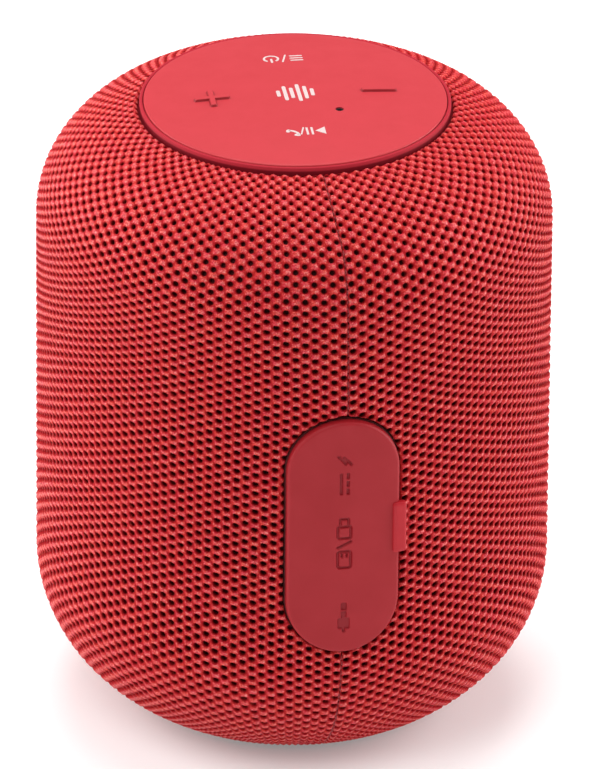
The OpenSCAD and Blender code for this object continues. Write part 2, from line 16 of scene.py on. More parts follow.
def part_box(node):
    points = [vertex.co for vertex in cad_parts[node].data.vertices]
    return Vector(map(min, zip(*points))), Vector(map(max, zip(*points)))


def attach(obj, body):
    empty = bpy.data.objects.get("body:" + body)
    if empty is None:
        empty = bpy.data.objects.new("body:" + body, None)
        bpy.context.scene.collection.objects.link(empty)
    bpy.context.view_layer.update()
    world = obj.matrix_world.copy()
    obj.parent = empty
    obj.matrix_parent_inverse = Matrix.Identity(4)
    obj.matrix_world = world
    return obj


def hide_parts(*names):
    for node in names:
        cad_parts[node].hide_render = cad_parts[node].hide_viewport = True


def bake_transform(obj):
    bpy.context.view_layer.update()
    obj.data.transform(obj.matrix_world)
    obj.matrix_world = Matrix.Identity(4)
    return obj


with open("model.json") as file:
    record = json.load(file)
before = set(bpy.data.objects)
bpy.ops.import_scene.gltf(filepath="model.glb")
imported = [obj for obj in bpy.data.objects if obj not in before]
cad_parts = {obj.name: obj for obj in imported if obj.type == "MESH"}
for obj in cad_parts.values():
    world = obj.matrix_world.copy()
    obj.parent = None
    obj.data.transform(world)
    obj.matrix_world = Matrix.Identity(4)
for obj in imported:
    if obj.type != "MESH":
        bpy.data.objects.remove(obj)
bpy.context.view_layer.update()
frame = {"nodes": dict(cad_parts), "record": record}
NODES = frame["nodes"]
MM = 0.001
TURN = 2 * pi


def span(node):
    """Lowest and highest corner of a CAD node, in millimetres."""
    low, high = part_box(node)
    return np.array(low) / MM, np.array(high) / MM


def middle(node):
    return sum(span(node)) / 2


# ---------- sizes taken from the frame ----------

SLEEVE = span("fabric_sleeve")
BODY_R = (SLEEVE[1][0] - SLEEVE[0][0]) / 2
CAP_R = span("cap_frame")[1][0] - 0.55
PAD_LOW, PAD_HIGH = span("control_pad")
PAD_R = PAD_HIGH[0]
PAD_TOP = PAD_HIGH[2]
KEY_EDGE = (span("key_mode")[1][0] - span("key_mode")[0][0]) / 2 + 0.1
MINUS_X, MINUS_Y, _ = middle("key_minus")
KEY_RING = hypot(MINUS_X, MINUS_Y)
PAD_TURN = atan2(MINUS_Y, MINUS_X)     # the pad sits slightly turned
MIC = middle("microphone")
BASE_R = span("base_plate")[1][0]
COVER_LOW, COVER_HIGH = span("port_cover")
COVER_Z = (COVER_LOW[2] + COVER_HIGH[2]) / 2
COVER_H = COVER_HIGH[2] - COVER_LOW[2]
COVER_W = -2 * COVER_LOW[0]
BEZEL_R = -span("port_bezel")[0][1]

# Outline of the body: a quarter ellipse at each shoulder and a straight wall
WALL_LOW, WALL_HIGH = 26.7, 86.2
LOW_CENTRE, LOW_DROP = BODY_R - 33, 29.1
TOP_CENTRE, TOP_RISE = BODY_R - 22.5, 20.05

RING_TOP = span("cap_frame")[1][2]

# The pad's face is part of a large sphere
DOME = 1.1
DOME_R = (PAD_R ** 2 + DOME ** 2) / (2 * DOME)


# ---------- meshes ----------

def make(name, verts, faces, slot, body=None, replaces=(), material=None, sharp=35):
    """A smooth-shaded piece from points in millimetres. Edges over sharp degrees stay crisp."""
    mesh = bpy.data.meshes.new(name)
    points = (np.asarray(verts, float) * MM).tolist()
    mesh.from_pydata(points, [], [tuple(f) for f in faces])
    mesh.update()
    if sharp:
        weld(mesh)
    mesh.shade_smooth()
    if sharp:
        mesh.set_sharp_from_angle(angle=radians(sharp))
    mesh.materials.append(material or MATERIALS[slot])
    piece = bpy.data.objects.new(name, mesh)
    bpy.context.scene.collection.objects.link(piece)
    if body:
        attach(piece, body)
    if replaces:
        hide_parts(*replaces)
    return piece


def weld(mesh):
    """Joins doubled points and makes the faces point outwards."""
    bm = bmesh.new()
    bm.from_mesh(mesh)
    bmesh.ops.remove_doubles(bm, verts=bm.verts, dist=1e-7)
    bmesh.ops.recalc_face_normals(bm, faces=bm.faces)
    bm.to_mesh(mesh)
    bm.free()


def mark_points(piece, attribute, values):
    """Stores one number per point for the material to read."""
    data = piece.data.attributes.new(attribute, "FLOAT", "POINT").data
    data.foreach_set("value", values.astype(np.float32))


def points_of(piece):
    """The x, y and z of a piece's points, in millimetres."""
    return np.array([tuple(v.co) for v in piece.data.vertices]).T / MM


class Solid:
    """Points and faces collected from several shapes into one mesh."""

    def __init__(self):
        self.verts = []
        self.faces = []

    def add(self, verts, faces):
        start = len(self.verts)
        self.verts.extend([tuple(v) for v in verts])
        self.faces.extend([tuple(start + i for i in f) for f in faces])
        return self

    def loft(self, loops, ends=True, ring=False):
        """Skins a list of loops with equal counts. ring joins the last loop to the first."""
        count = len(loops[0])
        last = len(loops) - 1
        faces = []
        for a in range(last + 1 if ring else last):
            b = (a + 1) % len(loops)
            for i in range(count):
                j = (i + 1) % count
                faces.append((a * count + i, a * count + j, b * count + j, b * count + i))
        if ends and not ring:
            faces.append(tuple(range(count))[::-1])
            faces.append(tuple(last * count + i for i in range(count)))
        return self.add([p for loop in loops for p in loop], faces)

    def make(self, name, *args, **kwargs):
        return make(name, self.verts, self.faces, *args, **kwargs)


def arc(cx, cy, r, start, end, steps):
    """Points along an arc, angles in degrees."""
    angles = [radians(start + (end - start) * i / steps) for i in range(steps + 1)]
    return [(cx + r * cos(a), cy + r * sin(a)) for a in angles]


def circle(r, z, count, x=0, y=0):
    return [(*p, z) for p in arc(x, y, r, 0, 360, count)[:-1]]


def revolve(profile, count=256, x=0, y=0):
    """A closed (r, z) profile turned about an upright axis."""
    return Solid().loft([circle(r, z, count, x, y) for r, z in profile], ring=True)


def inside_loop(loop, x, y):
    inside = np.zeros(np.shape(x), bool)
    for (x0, y0), (x1, y1) in zip(loop, loop[1:] + loop[:1]):
        if y0 != y1:
            crosses = (y0 > y) != (y1 > y)
            inside ^= crosses & (x < x0 + (y - y0) * (x1 - x0) / (y1 - y0))
    return inside


def fill(loops, points=()):
    """Triangles over the flat region inside the first loop and outside the others.

    The given points become corners too. Returns the corners and the triangles."""
    loops = [[p[:2] for p in loop] for loop in loops]
    corners = [Vector(p) for loop in loops for p in loop]
    edges = []
    start = 0
    for loop in loops:
        n = len(loop)
        edges += [(start + i, start + (i + 1) % n) for i in range(n)]
        start += n
    corners += [Vector(p) for p in points]
    out = delaunay_2d_cdt(corners, edges, [], 0, 1e-6)
    flat = np.array([tuple(v) for v in out[0]])
    tris = np.array(out[2])
    x, y = flat[tris].mean(axis=1).T
    return flat, tris[np.logical_xor.reduce([inside_loop(loop, x, y) for loop in loops])]


def orient(flat, tris, up):
    """Triangles turned so that they all face up, or all down."""
    a, b, c = flat[tris[:, 0]], flat[tris[:, 1]], flat[tris[:, 2]]
    area = (b[:, 0] - a[:, 0]) * (c[:, 1] - a[:, 1]) - (b[:, 1] - a[:, 1]) * (c[:, 0] - a[:, 0])
    flip = (area < 0) if up else (area > 0)
    out = tris.copy()
    out[flip] = out[flip][:, ::-1]
    return out.tolist()


def add_sheet(solid, flat, tris, z, up):
    """Triangles at the heights z, facing up or down."""
    solid.add(np.column_stack([flat, z]), orient(flat, tris, up))


def dome_z(x, y):
    """Height of the pad's face."""
    return PAD_TOP - DOME_R + np.sqrt(DOME_R ** 2 - x ** 2 - y ** 2)


def smoothstep(low, high, x):
    t = np.clip((x - low) / (high - low), 0, 1)
    return t * t * (3 - 2 * t)


# ---------- materials ----------

class Shader:
    """A node material, textured in the frame's coordinates measured in millimetres."""

    def __init__(self, name):
        self.material = bpy.data.materials.new(name)
        self.material.use_nodes = True
        self.tree = self.material.node_tree
        self.bsdf = self.tree.nodes["Principled BSDF"]
        coord = self.node("TexCoord", {}).outputs["Object"]
        self.place = self.node("VectorMath", {0: coord, "Scale": 1 / MM}, operation="SCALE").outputs[0]

    def node(self, kind, inputs, **settings):
        """Adds a node. Its inputs are given by name or by number."""
        made = self.tree.nodes.new("ShaderNode" + kind)
        for key, value in settings.items():
            setattr(made, key, value)
        for key, value in inputs.items():
            self.put(made.inputs[key], value)
        return made

    def put(self, target, value):
        if isinstance(value, bpy.types.NodeSocket):
            self.tree.links.new(value, target)
        else:
            target.default_value = value

    def set(self, **inputs):
        """Principled inputs by name, with _ for a space."""
        for key, value in inputs.items():
            self.put(self.bsdf.inputs[key.replace("_", " ")], value)

    def stretched(self, x, y, z):
        """Coordinates with features drawn out by these factors."""
        return self.node("VectorMath", {0: self.place, 1: (1 / x, 1 / y, 1 / z)},
                         operation="MULTIPLY").outputs[0]

    def noise(self, size, detail=2.0, rough=0.5, place=None):
        return self.node("TexNoise", {"Vector": place or self.place, "Scale": 1 / size,
                                      "Detail": detail, "Roughness": rough}).outputs["Fac"]

    def cells(self, size, feature="F1"):
        return self.node("TexVoronoi", {"Vector": self.place, "Scale": 1 / size},
                         feature=feature).outputs["Distance"]

    def height(self):
        return self.node("SeparateXYZ", {0: self.place}).outputs["Z"]

    def attribute(self, name):
        return self.node("Attribute", {}, attribute_name=name).outputs["Fac"]

    def remap(self, value, low, high, to_low=0.0, to_high=1.0):
        return self.node("MapRange", {"Value": value, "From Min": low, "From Max": high,
                                      "To Min": to_low, "To Max": to_high}).outputs["Result"]

    def product(self, a, b):
        return self.node("Math", {0: a, 1: b}, operation="MULTIPLY").outputs[0]

    def mix(self, factor, a, b):
        """Mixes two colours."""
        a, b = (c if isinstance(c, bpy.types.NodeSocket) else (*c, 1) for c in (a, b))
        return self.node("Mix", {"Factor": factor, 6: a, 7: b}, data_type="RGBA").outputs[2]

    def bump(self, height, depth):
        """Fine relief, depth in millimetres. Calls add up."""
        made = self.node("Bump", {"Strength": 1.0, "Distance": depth * MM, "Height": height})
        normal = self.bsdf.inputs["Normal"]
        if normal.is_linked:
            self.put(made.inputs["Normal"], normal.links[0].from_socket)
        self.put(normal, made.outputs[0])


def lighter(colour, times, plus):
    return tuple(min(1.0, c * times + plus) for c in colour)


def knit_material():
    """Polyester yarn, a saturated red, with painted shade near black down in the holes and between
    fibres, and painted highlights and glints on each loop's tip.
    """
    s = Shader("knit")
    # the attribute is low in the holes and high on the lumps; it places the painted shade and
    # highlights
    crown_and_painted_light = s.attribute("crown_and_painted_light")
    yarn = s.noise(0.5, 3, 0.6)
    fibres = s.noise(0.26, 2, 0.7)
    # painted shade: near black low in the holes, darker red up their rims
    hole_shade = s.mix(s.remap(crown_and_painted_light, 0.04, 0.3), (0.07, 0.0006, 0.001), (0.36, 0.008, 0.012))
    hue = s.mix(s.remap(s.noise(0.9, 2), 0.4, 0.6), (0.61, 0.021, 0.042), (0.65, 0.032, 0.023))
    body = s.mix(s.remap(crown_and_painted_light, 0.3, 0.62), hole_shade, hue)
    # painted highlight: paler on each loop's tip
    tip_highlights = s.mix(s.remap(crown_and_painted_light, 0.66, 0.95), body, (0.72, 0.14, 0.125))
    fleck = s.mix(s.remap(yarn, 0.55, 0.75, 0.0, 0.35), tip_highlights, (0.80, 0.12, 0.08))
    # painted shade in the hollows between fibres
    fibre_shade = s.mix(s.remap(fibres, 0.47, 0.34, 0.0, 0.75), fleck, (0.26, 0.004, 0.008))
    # painted glints on the fibres, which fade out towards the holes
    glint = s.product(s.remap(fibres, 0.54, 0.64), s.remap(crown_and_painted_light, 0.3, 0.75, 0.0, 0.7))
    lit = s.mix(glint, fibre_shade, (0.88, 0.30, 0.26))
    broad = s.mix(s.remap(s.noise(14, 2), 0.35, 0.65, 0.0, 0.1), lit, (0.55, 0.012, 0.02))
    s.set(Base_Color=broad, Roughness=s.remap(yarn, 0.3, 0.7, 0.42, 0.6),
          Sheen_Weight=0.05, Sheen_Roughness=0.35, Sheen_Tint=(1.0, 0.3, 0.25, 1),
          Specular_IOR_Level=s.remap(crown_and_painted_light, 0.5, 1.0, 0.05, 0.8))
    s.bump(fibres, 0.11)
    s.bump(yarn, 0.08)
    return s.material


def silicone_material(name, colour, shade, gloss, mark=None, painted_shade_colour=None):
    """Soft-touch silicone: satin, with faint mould texture, dust and tone variation.

    The last two arguments give a mesh attribute and the colour of painted shade that shows where the
    attribute is 1."""
    s = Shader(name)
    cloud = s.noise(6, 3, 0.55)
    base = s.mix(s.remap(cloud, 0.35, 0.65), colour, shade)
    base = s.mix(s.remap(s.cells(1.7), 0.0, 0.045, 0.22, 0.0), base, lighter(colour, 1.5, 0.05))
    # painted shade at the foot of raised signs and inside pressed-in marks
    if mark:
        base = s.mix(s.remap(s.attribute(mark), 0.1, 0.9), base, painted_shade_colour)
    s.set(Base_Color=base, Roughness=s.remap(cloud, 0.3, 0.7, gloss - 0.04, gloss + 0.06),
          Specular_IOR_Level=0.25)
    s.bump(s.noise(0.12, 2, 0.6), 0.012)
    return s.material


def ring_material():
    """The cap's ring: dark maroon, a colour that paints the shade low on its wall, and paler along its
    upper edge as a painted highlight.
    """
    s = Shader("ring_plastic")
    spark = s.noise(0.2, 3, 0.65)
    # painted highlight along the ring's upper edge, set by height
    top = s.remap(s.height(), RING_TOP - 0.75, RING_TOP - 0.45)
    # dark maroon that paints the shade on the ring's wall, with fine random speckle
    tone = s.mix(s.remap(spark, 0.35, 0.7), (0.14, 0.004, 0.009), (0.17, 0.006, 0.012))
    s.set(Base_Color=s.mix(top, tone, (0.40, 0.022, 0.036)), Roughness=0.5,
          Specular_IOR_Level=0.05)
    s.bump(spark, 0.006)
    return s.material


def plastic_material(name, colour, gloss, texture, relief):
    """Moulded plastic with a spark-eroded texture and rubbed, glossier patches."""
    s = Shader(name)
    wear = s.noise(9, 3, 0.6)
    s.set(Base_Color=s.mix(s.remap(wear, 0.4, 0.7), colour, lighter(colour, 1.25, 0.01)),
          Roughness=s.remap(wear, 0.35, 0.65, gloss - 0.06, gloss + 0.08))
    s.bump(s.noise(texture, 3, 0.65), relief)
    return s.material


def metal_material(name, colour, rough, brush):
    """Plated or drawn metal with fine directional scratches and slight tarnish."""
    s = Shader(name)
    lines = s.noise(0.25, 2, 0.6, s.stretched(*brush))
    stain = s.remap(s.noise(5, 3, 0.6), 0.45, 0.75)
    s.set(Base_Color=s.mix(stain, colour, lighter(colour, 0.72, 0)), Metallic=1.0,
          Roughness=s.remap(lines, 0.3, 0.7, rough - 0.08, rough + 0.12))
    s.bump(lines, 0.006)
    return s.material


def board_material():
    """Green solder mask over a faint pattern of copper tracks."""
    s = Shader("board")
    tracks = s.remap(s.cells(2.4, "DISTANCE_TO_EDGE"), 0.05, 0.09, 1.0, 0.0)
    mask = s.mix(tracks, (0.012, 0.11, 0.045), (0.03, 0.21, 0.09))
    s.set(Base_Color=mask, Roughness=s.remap(s.noise(3), 0.4, 0.6, 0.22, 0.32))
    s.bump(tracks, 0.03)
    return s.material


def foam_material():
    """Black foam rubber with fine pores."""
    s = Shader("foam_rubber")
    pores = s.cells(0.45)
    s.set(Base_Color=s.mix(s.remap(pores, 0.1, 0.6), (0.004, 0.004, 0.005), (0.02, 0.02, 0.021)),
          Roughness=0.8, Specular_IOR_Level=0.1)
    s.bump(pores, 0.06)
    return s.material


def grained_material(name, colours, grain, band, relief, settings):
    """Two colours mixed by one noise between the two values of band, which also gives the relief.

    grain holds the noise's size, detail and roughness, and how far it is drawn out along X, Y, Z."""
    s = Shader(name)
    size, detail, rough, stretch = grain
    texture = s.noise(size, detail, rough, s.stretched(*stretch))
    s.set(Base_Color=s.mix(s.remap(texture, *band), *colours), **settings)
    s.bump(texture, relief)
    return s.material


PULP = (0.5, 4, 0.75, (1, 3, 1))            # fibrous paper pulp, or resin-dipped cloth
PULP_RELIEF = ((0.4, 0.75), 0.05, {"Roughness": 0.85})
SILICONES = {       # colour, second tone, gloss, and an attribute with the colour of painted shade where it is 1
    "pad_silicone": ((0.50, 0.0325, 0.0435), (0.48, 0.030, 0.040), 0.42,
                     # pad: the colour of the painted shade round the feet of the raised signs
                     "foot", (0.27, 0.010, 0.016)),
    "cover_silicone": ((0.335, 0.0105, 0.017), (0.31, 0.009, 0.0145), 0.5,
                       # flap: the colour of the painted shade inside its pressed-in marks
                       "mark", (0.255, 0.0065, 0.012)),
    # the tab: the flap's silicone made lighter, as painted light on the tab
    "tab_silicone": ((0.44, 0.012, 0.020), (0.40, 0.010, 0.018), 0.45),
    "foot_silicone": ((0.02, 0.02, 0.021), (0.016, 0.016, 0.017), 0.6),
}
PLASTICS = {        # colour, gloss, size and depth of the texture
    "shell_plastic": ((0.085, 0.001, 0.002), 0.8, 0.35, 0.02),
    "black_plastic": ((0.012, 0.012, 0.013), 0.45, 0.35, 0.02),
    "ivory_plastic": ((0.70, 0.64, 0.50), 0.4, 0.3, 0.01),
    "ferrite": ((0.035, 0.035, 0.04), 0.42, 0.8, 0.05),
    "chip": ((0.018, 0.018, 0.02), 0.38, 0.12, 0.008),
    "module_can": ((0.02, 0.06, 0.21), 0.3, 1.2, 0.02),
    "wire_red": ((0.45, 0.012, 0.010), 0.35, 0.9, 0.01),
    "wire_black": ((0.010, 0.010, 0.011), 0.35, 0.9, 0.01),
}
METALS = {          # colour, roughness, and how far the scratches are drawn out along X, Y, Z
    "screw_steel": ((0.50, 0.50, 0.53), 0.34, (6, 6, 1)),
    "plated_steel": ((0.62, 0.62, 0.64), 0.3, (1, 1, 12)),
    "copper": ((0.72, 0.30, 0.13), 0.25, (1, 8, 1)),
}
GRAINED = {         # two colours, the noise, its band, relief, and other Principled inputs
    "thread": (((0.16, 0.003, 0.008), (0.42, 0.012, 0.022)), (0.12, 2, 0.6, (2, 1, 1)),
               (0, 1), 0.03, {"Roughness": 0.6, "Sheen_Weight": 0.2}),
    "print_white": (((0.56, 0.43, 0.42), (0.63, 0.51, 0.50)), (0.1, 2, 0.5, (1, 1, 1)),
                    (0.3, 0.7), 0.008, {"Roughness": 0.6}),
    "cell": (((0.02, 0.10, 0.33), (0.03, 0.14, 0.42)), (3.5, 2, 0.5, (1, 1, 4)),
             (0.4, 0.6), 0.08, {"Roughness": 0.22, "Coat_Weight": 0.3}),
    "paper_cone": (((0.022, 0.022, 0.025), (0.0552, 0.0552, 0.06)), PULP, *PULP_RELIEF),
    "spider_cloth": (((0.48, 0.33, 0.09), (0.788, 0.548, 0.164)), PULP, *PULP_RELIEF),
}
MATERIALS = {"knit": knit_material(), "ring_plastic": ring_material(),
             "board": board_material(), "black_rubber": foam_material()}
for recipe, kinds in ((silicone_material, SILICONES), (plastic_material, PLASTICS),
                      (metal_material, METALS), (grained_material, GRAINED)):
    for key, values in kinds.items():
        MATERIALS[key] = recipe(key, *values)


# ---------- knitted sleeve ----------

# The knit is a lattice of holes on upright columns. Holes in neighbouring columns are
# half a row apart, and a rounded lump of yarn lies between each hole and the next.
COLUMNS = 170
ROW_PITCH = 1.645           # along the wall, and longer over the shoulders
TOP_PITCH = 2.0
LOW_PITCH = 2.1
HOLE = (0.292, 0.29)        # half sizes of a hole, in columns and rows
CELL_SIDES = 12             # points in each ring round a hole
KNIT_BACK = 1.12            # inset of the knit's back face
RIM_INSET = 0.6             # inset of a hole's rim
CROWN_INSET = 0.02          # inset of a lump's crown
PANELS = 10
SEAM_HEIGHTS = (0, 26, 72, 84, 97, 105)     # the seam wanders sideways on its way up
SEAM_DEGREES = (0, 0, 1.0, 0.8, 0.65, -1.1)
OPENING_GAP = 0.45          # from the flap's edge to the knit
DEEPEST = KNIT_BACK + 0.1   # how far the cloth goes below the surface where it turns in
TIGHT = 0.2                 # share by which the holes shrink on the way up the shoulder
TIGHT_FROM, TIGHT_TO = 28, 8                # distances from the cap
MERGE = 400                 # lattice points closer than one part in this are the same point
STRAY = (0.3, 0.4)          # how far columns and rows stray, in units of the random jitter
TOP_ROWS, LOW_ROWS = (55, 95), (10, 26)     # heights over which the rows' pitch changes
RISE_ENDS, RISE_WALL = 0.03, 0.15           # how steeply the rows climb away from the seam
RISE_GROWS, RISE_FADES = (-5, 38), (58, 98)
# Radius and depth with which the cloth turns in at an edge
CAP_FOLD, BASE_FOLD, SEAM_FOLD, FLAP_FOLD = (0.35, 0.7), (0.5, 0.7), (0.55, 0.35), (0.45, 0.8)
FAR = 99.0


def outline():
    """The sleeve's outer line from the base's edge up to the cap's: arc length, r, z, normal."""
    low = acos((BASE_R + 0.25 - LOW_CENTRE) / (BODY_R - LOW_CENTRE))
    high = acos((CAP_R + 0.5 - TOP_CENTRE) / (BODY_R - TOP_CENTRE))
    below = np.linspace(-low, 0, 400)
    above = np.linspace(0, high, 400)
    wall_z = np.linspace(WALL_LOW, WALL_HIGH, 400)[1:-1]
    r = np.concatenate([LOW_CENTRE + (BODY_R - LOW_CENTRE) * np.cos(below),
                        np.full(len(wall_z), BODY_R),
                        TOP_CENTRE + (BODY_R - TOP_CENTRE) * np.cos(above)])
    z = np.concatenate([WALL_LOW + LOW_DROP * np.sin(below), wall_z,
                        WALL_HIGH + TOP_RISE * np.sin(above)])
    s = np.concatenate([[0], np.cumsum(np.hypot(np.diff(r), np.diff(z)))])
    dr, dz = np.gradient(r, s), np.gradient(z, s)
    size = np.hypot(dr, dz)
    return s, r, z, dz / size, -dr / size


LINE_S, LINE_R, LINE_Z, LINE_NR, LINE_NZ = outline()
LINE_END = LINE_S[-1]


def seam_angle(z):
    return np.radians(np.interp(z, SEAM_HEIGHTS, SEAM_DEGREES))


def on_sleeve(s, phi, depth):
    """The point at arc length s and angle phi, below the sleeve's surface by depth."""
    r = np.interp(s, LINE_S, LINE_R) - depth * np.interp(s, LINE_S, LINE_NR)
    z = np.interp(s, LINE_S, LINE_Z) - depth * np.interp(s, LINE_S, LINE_NZ)
    return np.stack([r * np.sin(phi), -r * np.cos(phi), z], -1)


def row_table():
    """Row number against arc length: rows are tighter on the wall than on the shoulders."""
    s = np.linspace(-14, LINE_END + 4, 2000)
    z = np.interp(s, LINE_S, LINE_Z)
    pitch = ROW_PITCH + (TOP_PITCH - ROW_PITCH) * smoothstep(*TOP_ROWS, z)
    pitch = pitch + (LOW_PITCH - ROW_PITCH) * (1 - smoothstep(*LOW_ROWS, z))
    rows = np.concatenate([[0], np.cumsum(np.diff(s) / pitch[1:])])
    return s, rows, pitch


ROW_S, ROW_NUMBER, ROW_STEP = row_table()


def fold(distance, radius, depth):
    """How cloth turns in at an edge: distance kept along the surface, and drop below it."""
    past = radius - distance
    along = np.where(past > 0, np.maximum(distance, 0), distance)
    turn = np.clip(past / radius, 0, 1)
    drop = radius * (1 - np.sqrt(1 - np.minimum(turn, 0.999) ** 2)) * 0.8
    drop = drop + np.clip(past - radius, 0, depth)
    return along, drop


def opening_distance(x, z):
    """Distance outside the stadium-shaped opening round the flap, and its direction."""
    w = COVER_W / 2 + OPENING_GAP
    h = COVER_H / 2 + OPENING_GAP - w
    dz = z - COVER_Z
    away = dz - np.clip(dz, -h, h)
    length = np.maximum(np.hypot(x, away), 1e-9)
    return length - w, x / length, away / length


def place_knit(u, v, inset):
    """A point at a column, a row and an inset, and how far past the cloth's edge it lies."""
    s = np.interp(v, ROW_NUMBER, ROW_S)
    z = np.interp(s, LINE_S, LINE_Z)
    turn = u / COLUMNS * TURN
    from_seam = np.minimum(turn, TURN - turn)
    rise = smoothstep(*RISE_GROWS, z) * (1 - smoothstep(*RISE_FADES, z))
    rise = RISE_ENDS + RISE_WALL * rise
    s = s + rise * BODY_R * (from_seam - from_seam ** 2 / TURN)
    top, top_drop = fold(LINE_END - s, *CAP_FOLD)
    low, low_drop = fold(s, *BASE_FOLD)
    gone = np.maximum(s - LINE_END, -s)
    s = np.where(s > LINE_END / 2, LINE_END - top, low)
    r = np.interp(s, LINE_S, LINE_R)
    z = np.interp(s, LINE_S, LINE_Z)
    seam, seam_drop = fold(from_seam * r, *SEAM_FOLD)
    side = np.where(turn < pi, 1.0, -1.0)
    phi = side * seam / r + seam_angle(z) * (1 - smoothstep(0.1, 1.2, from_seam))
    on_port_side = np.cos(phi) > 0
    out, gx, gz = opening_distance(r * np.sin(phi), z)
    out = np.where(on_port_side, out, FAR)
    kept, port_drop = fold(out, *FLAP_FOLD)
    pulled = np.where(on_port_side, kept - out, 0)
    x = r * np.sin(phi) + gx * pulled
    phi = np.where(on_port_side, np.arcsin(np.clip(x / r, -1, 1)), phi)
    depth = np.minimum(inset + top_drop + low_drop + seam_drop + port_drop, DEEPEST)
    points = on_sleeve(s, phi, depth)
    points[:, 2] += gz * pulled
    return points, np.maximum(gone, -out)


def knit_cell():
    """One hole's cell in lattice units: rings of points from the hole's back to the shared edge,
    and round to the back face. Returns offsets, nearness to the hole, insets, tones for painted shade
    and highlights, and quads."""
    upper = [(0.65, 0), (0.5, 0.25), (0.35, 0.5), (0, 0.5), (-0.35, 0.5), (-0.5, 0.25)]
    edge = np.array(upper + [(-x, -y) for x, y in upper])
    angle = np.arctan2(edge[:, 1] / HOLE[1], edge[:, 0] / HOLE[0])
    hole = np.stack([HOLE[0] * np.cos(angle), HOLE[1] * np.sin(angle)], -1)
    rings, near, insets, painted_light_tones = [], [], [], []
    for share, inset in ((-0.12, KNIT_BACK), (-0.1, 0.8), (0.0, RIM_INSET),
                         (0.24, None), (0.55, None), (1.0, None), (1.0, KNIT_BACK)):
        ring = hole + share * (edge - hole) if share >= 0 else hole * (1 + share)
        u, v = np.abs(ring[:, 0]), np.abs(ring[:, 1])
        crown_and_painted_light = np.clip((1 - np.cos(pi * u) * np.cos(TURN * v)) / 2, 0, 1)
        # two lobes by each hole's upper corners, where a highlight is painted on the yarn
        tip = np.exp(-(u - 0.38) ** 2 / 0.02 - (v - 0.46) ** 2 / 0.03)
        if inset is None:
            inset_here = RIM_INSET + (CROWN_INSET - RIM_INSET) * crown_and_painted_light ** 1.25
            inset_here = inset_here - 0.12 * sin(pi * min(share, 0.6) / 0.6) * (share < 0.6)
            inset_here = inset_here + 0.07 * np.exp(-(u / 0.15) ** 2) * (v > 0.4)
            # the tone paints shade low by the hole and highlights on the lump and its lobes
            tone = 0.72 * crown_and_painted_light ** 1.2 + 0.4 * tip
        else:
            inset_here = np.full(len(ring), inset)
            # the hole's walls and the back face get a tone near 0, painted near black as shade
            tone = 0.15 * crown_and_painted_light * (share == 0)
        rings.append(ring)
        near.append(np.full(len(ring), 1 - max(share, 0.0)))
        insets.append(inset_here)
        painted_light_tones.append(tone)
    columns = [np.concatenate(part) for part in (rings, near, insets, painted_light_tones)]
    return *columns, np.array(Solid().loft(rings, ring=True).faces)[:, ::-1]


def build_knit():
    """The whole sleeve as one lattice, then cut into upright panels."""
    offsets, near, insets, painted_light_tones, quads = knit_cell()
    rows = np.arange(floor(ROW_NUMBER[0]) + 1, ceil(ROW_NUMBER[-1]) - 1)
    column = np.repeat(np.arange(COLUMNS), len(rows))
    row = np.tile(rows, COLUMNS) + 0.5 * (column % 2)
    tight = TIGHT * smoothstep(LINE_END - TIGHT_FROM, LINE_END - TIGHT_TO,
                               np.interp(row, ROW_NUMBER, ROW_S))
    slack = 1 - (1 - tight) * ROW_PITCH / np.interp(row, ROW_NUMBER, ROW_STEP)
    u = column[:, None] + 0.5 + offsets[None, :, 0] * (1 - near[None, :] * tight[:, None])
    v = row[:, None] + offsets[None, :, 1] * (1 - near[None, :] * slack[:, None])
    n = len(offsets)
    across, along = (np.round(w * MERGE).astype(np.int64) for w in (u, v))
    code = (across * 100000 + along + 50000) * 10 + np.arange(n) // CELL_SIDES
    _, first, inverse = np.unique(code.reshape(-1), return_index=True, return_inverse=True)
    u, v = u.reshape(-1)[first], v.reshape(-1)[first]
    inset, crown_and_painted_light = insets[first % n], painted_light_tones[first % n]
    beyond = (u < 0) | (u > COLUMNS)
    u = np.clip(u, 0.0, COLUMNS)
    rng = np.random.default_rng(7)
    jitter = rng.normal(0, 0.03, (2, len(u)))
    phase = 0.5 + 0.5 * np.sin(u * 12.9898 + v * 78.233)
    inset = inset + 0.05 * (phase - 0.5) * (inset < RIM_INSET)
    points, gone = place_knit(np.clip(u + jitter[0] * STRAY[0], 0, COLUMNS),
                              v + jitter[1] * STRAY[1], inset)
    faces = (inverse.reshape(len(row), n)[:, quads]).reshape(-1, 4)
    owner = np.repeat(column, len(quads))
    keep = ~((gone[faces] > 0.75).all(axis=1) | beyond[faces].all(axis=1))
    return points, crown_and_painted_light, faces[keep], owner[keep]


def vertex_normals(points, faces):
    a = points[faces[:, 2]] - points[faces[:, 0]]
    b = points[faces[:, 3]] - points[faces[:, 1]]
    normal = np.cross(a, b)
    total = np.zeros_like(points)
    for k in range(4):
        np.add.at(total, faces[:, k], normal)
    return total / np.maximum(np.linalg.norm(total, axis=1, keepdims=True), 1e-12)


def make_sleeve():
    points, crown_and_painted_light, faces, owner = build_knit()
    normals = vertex_normals(points, faces)
    per_panel = COLUMNS // PANELS
    for p in range(PANELS):
        mine = faces[(owner >= p * per_panel) & (owner < (p + 1) * per_panel)]
        used, local = np.unique(mine, return_inverse=True)
        name = f"knit_panel_{p + 1:02d}"
        panel = make(name, points[used], local.reshape(-1, 4).tolist(), "knit", "housing",
                     ["fabric_sleeve"], sharp=None)
        # stores the tone that sets the knit's painted shade and highlights
        mark_points(panel, "crown_and_painted_light", crown_and_painted_light[used])
        panel.data.normals_split_custom_set_from_vertices(normals[used].tolist())


make_sleeve()


# ---------- seam ----------

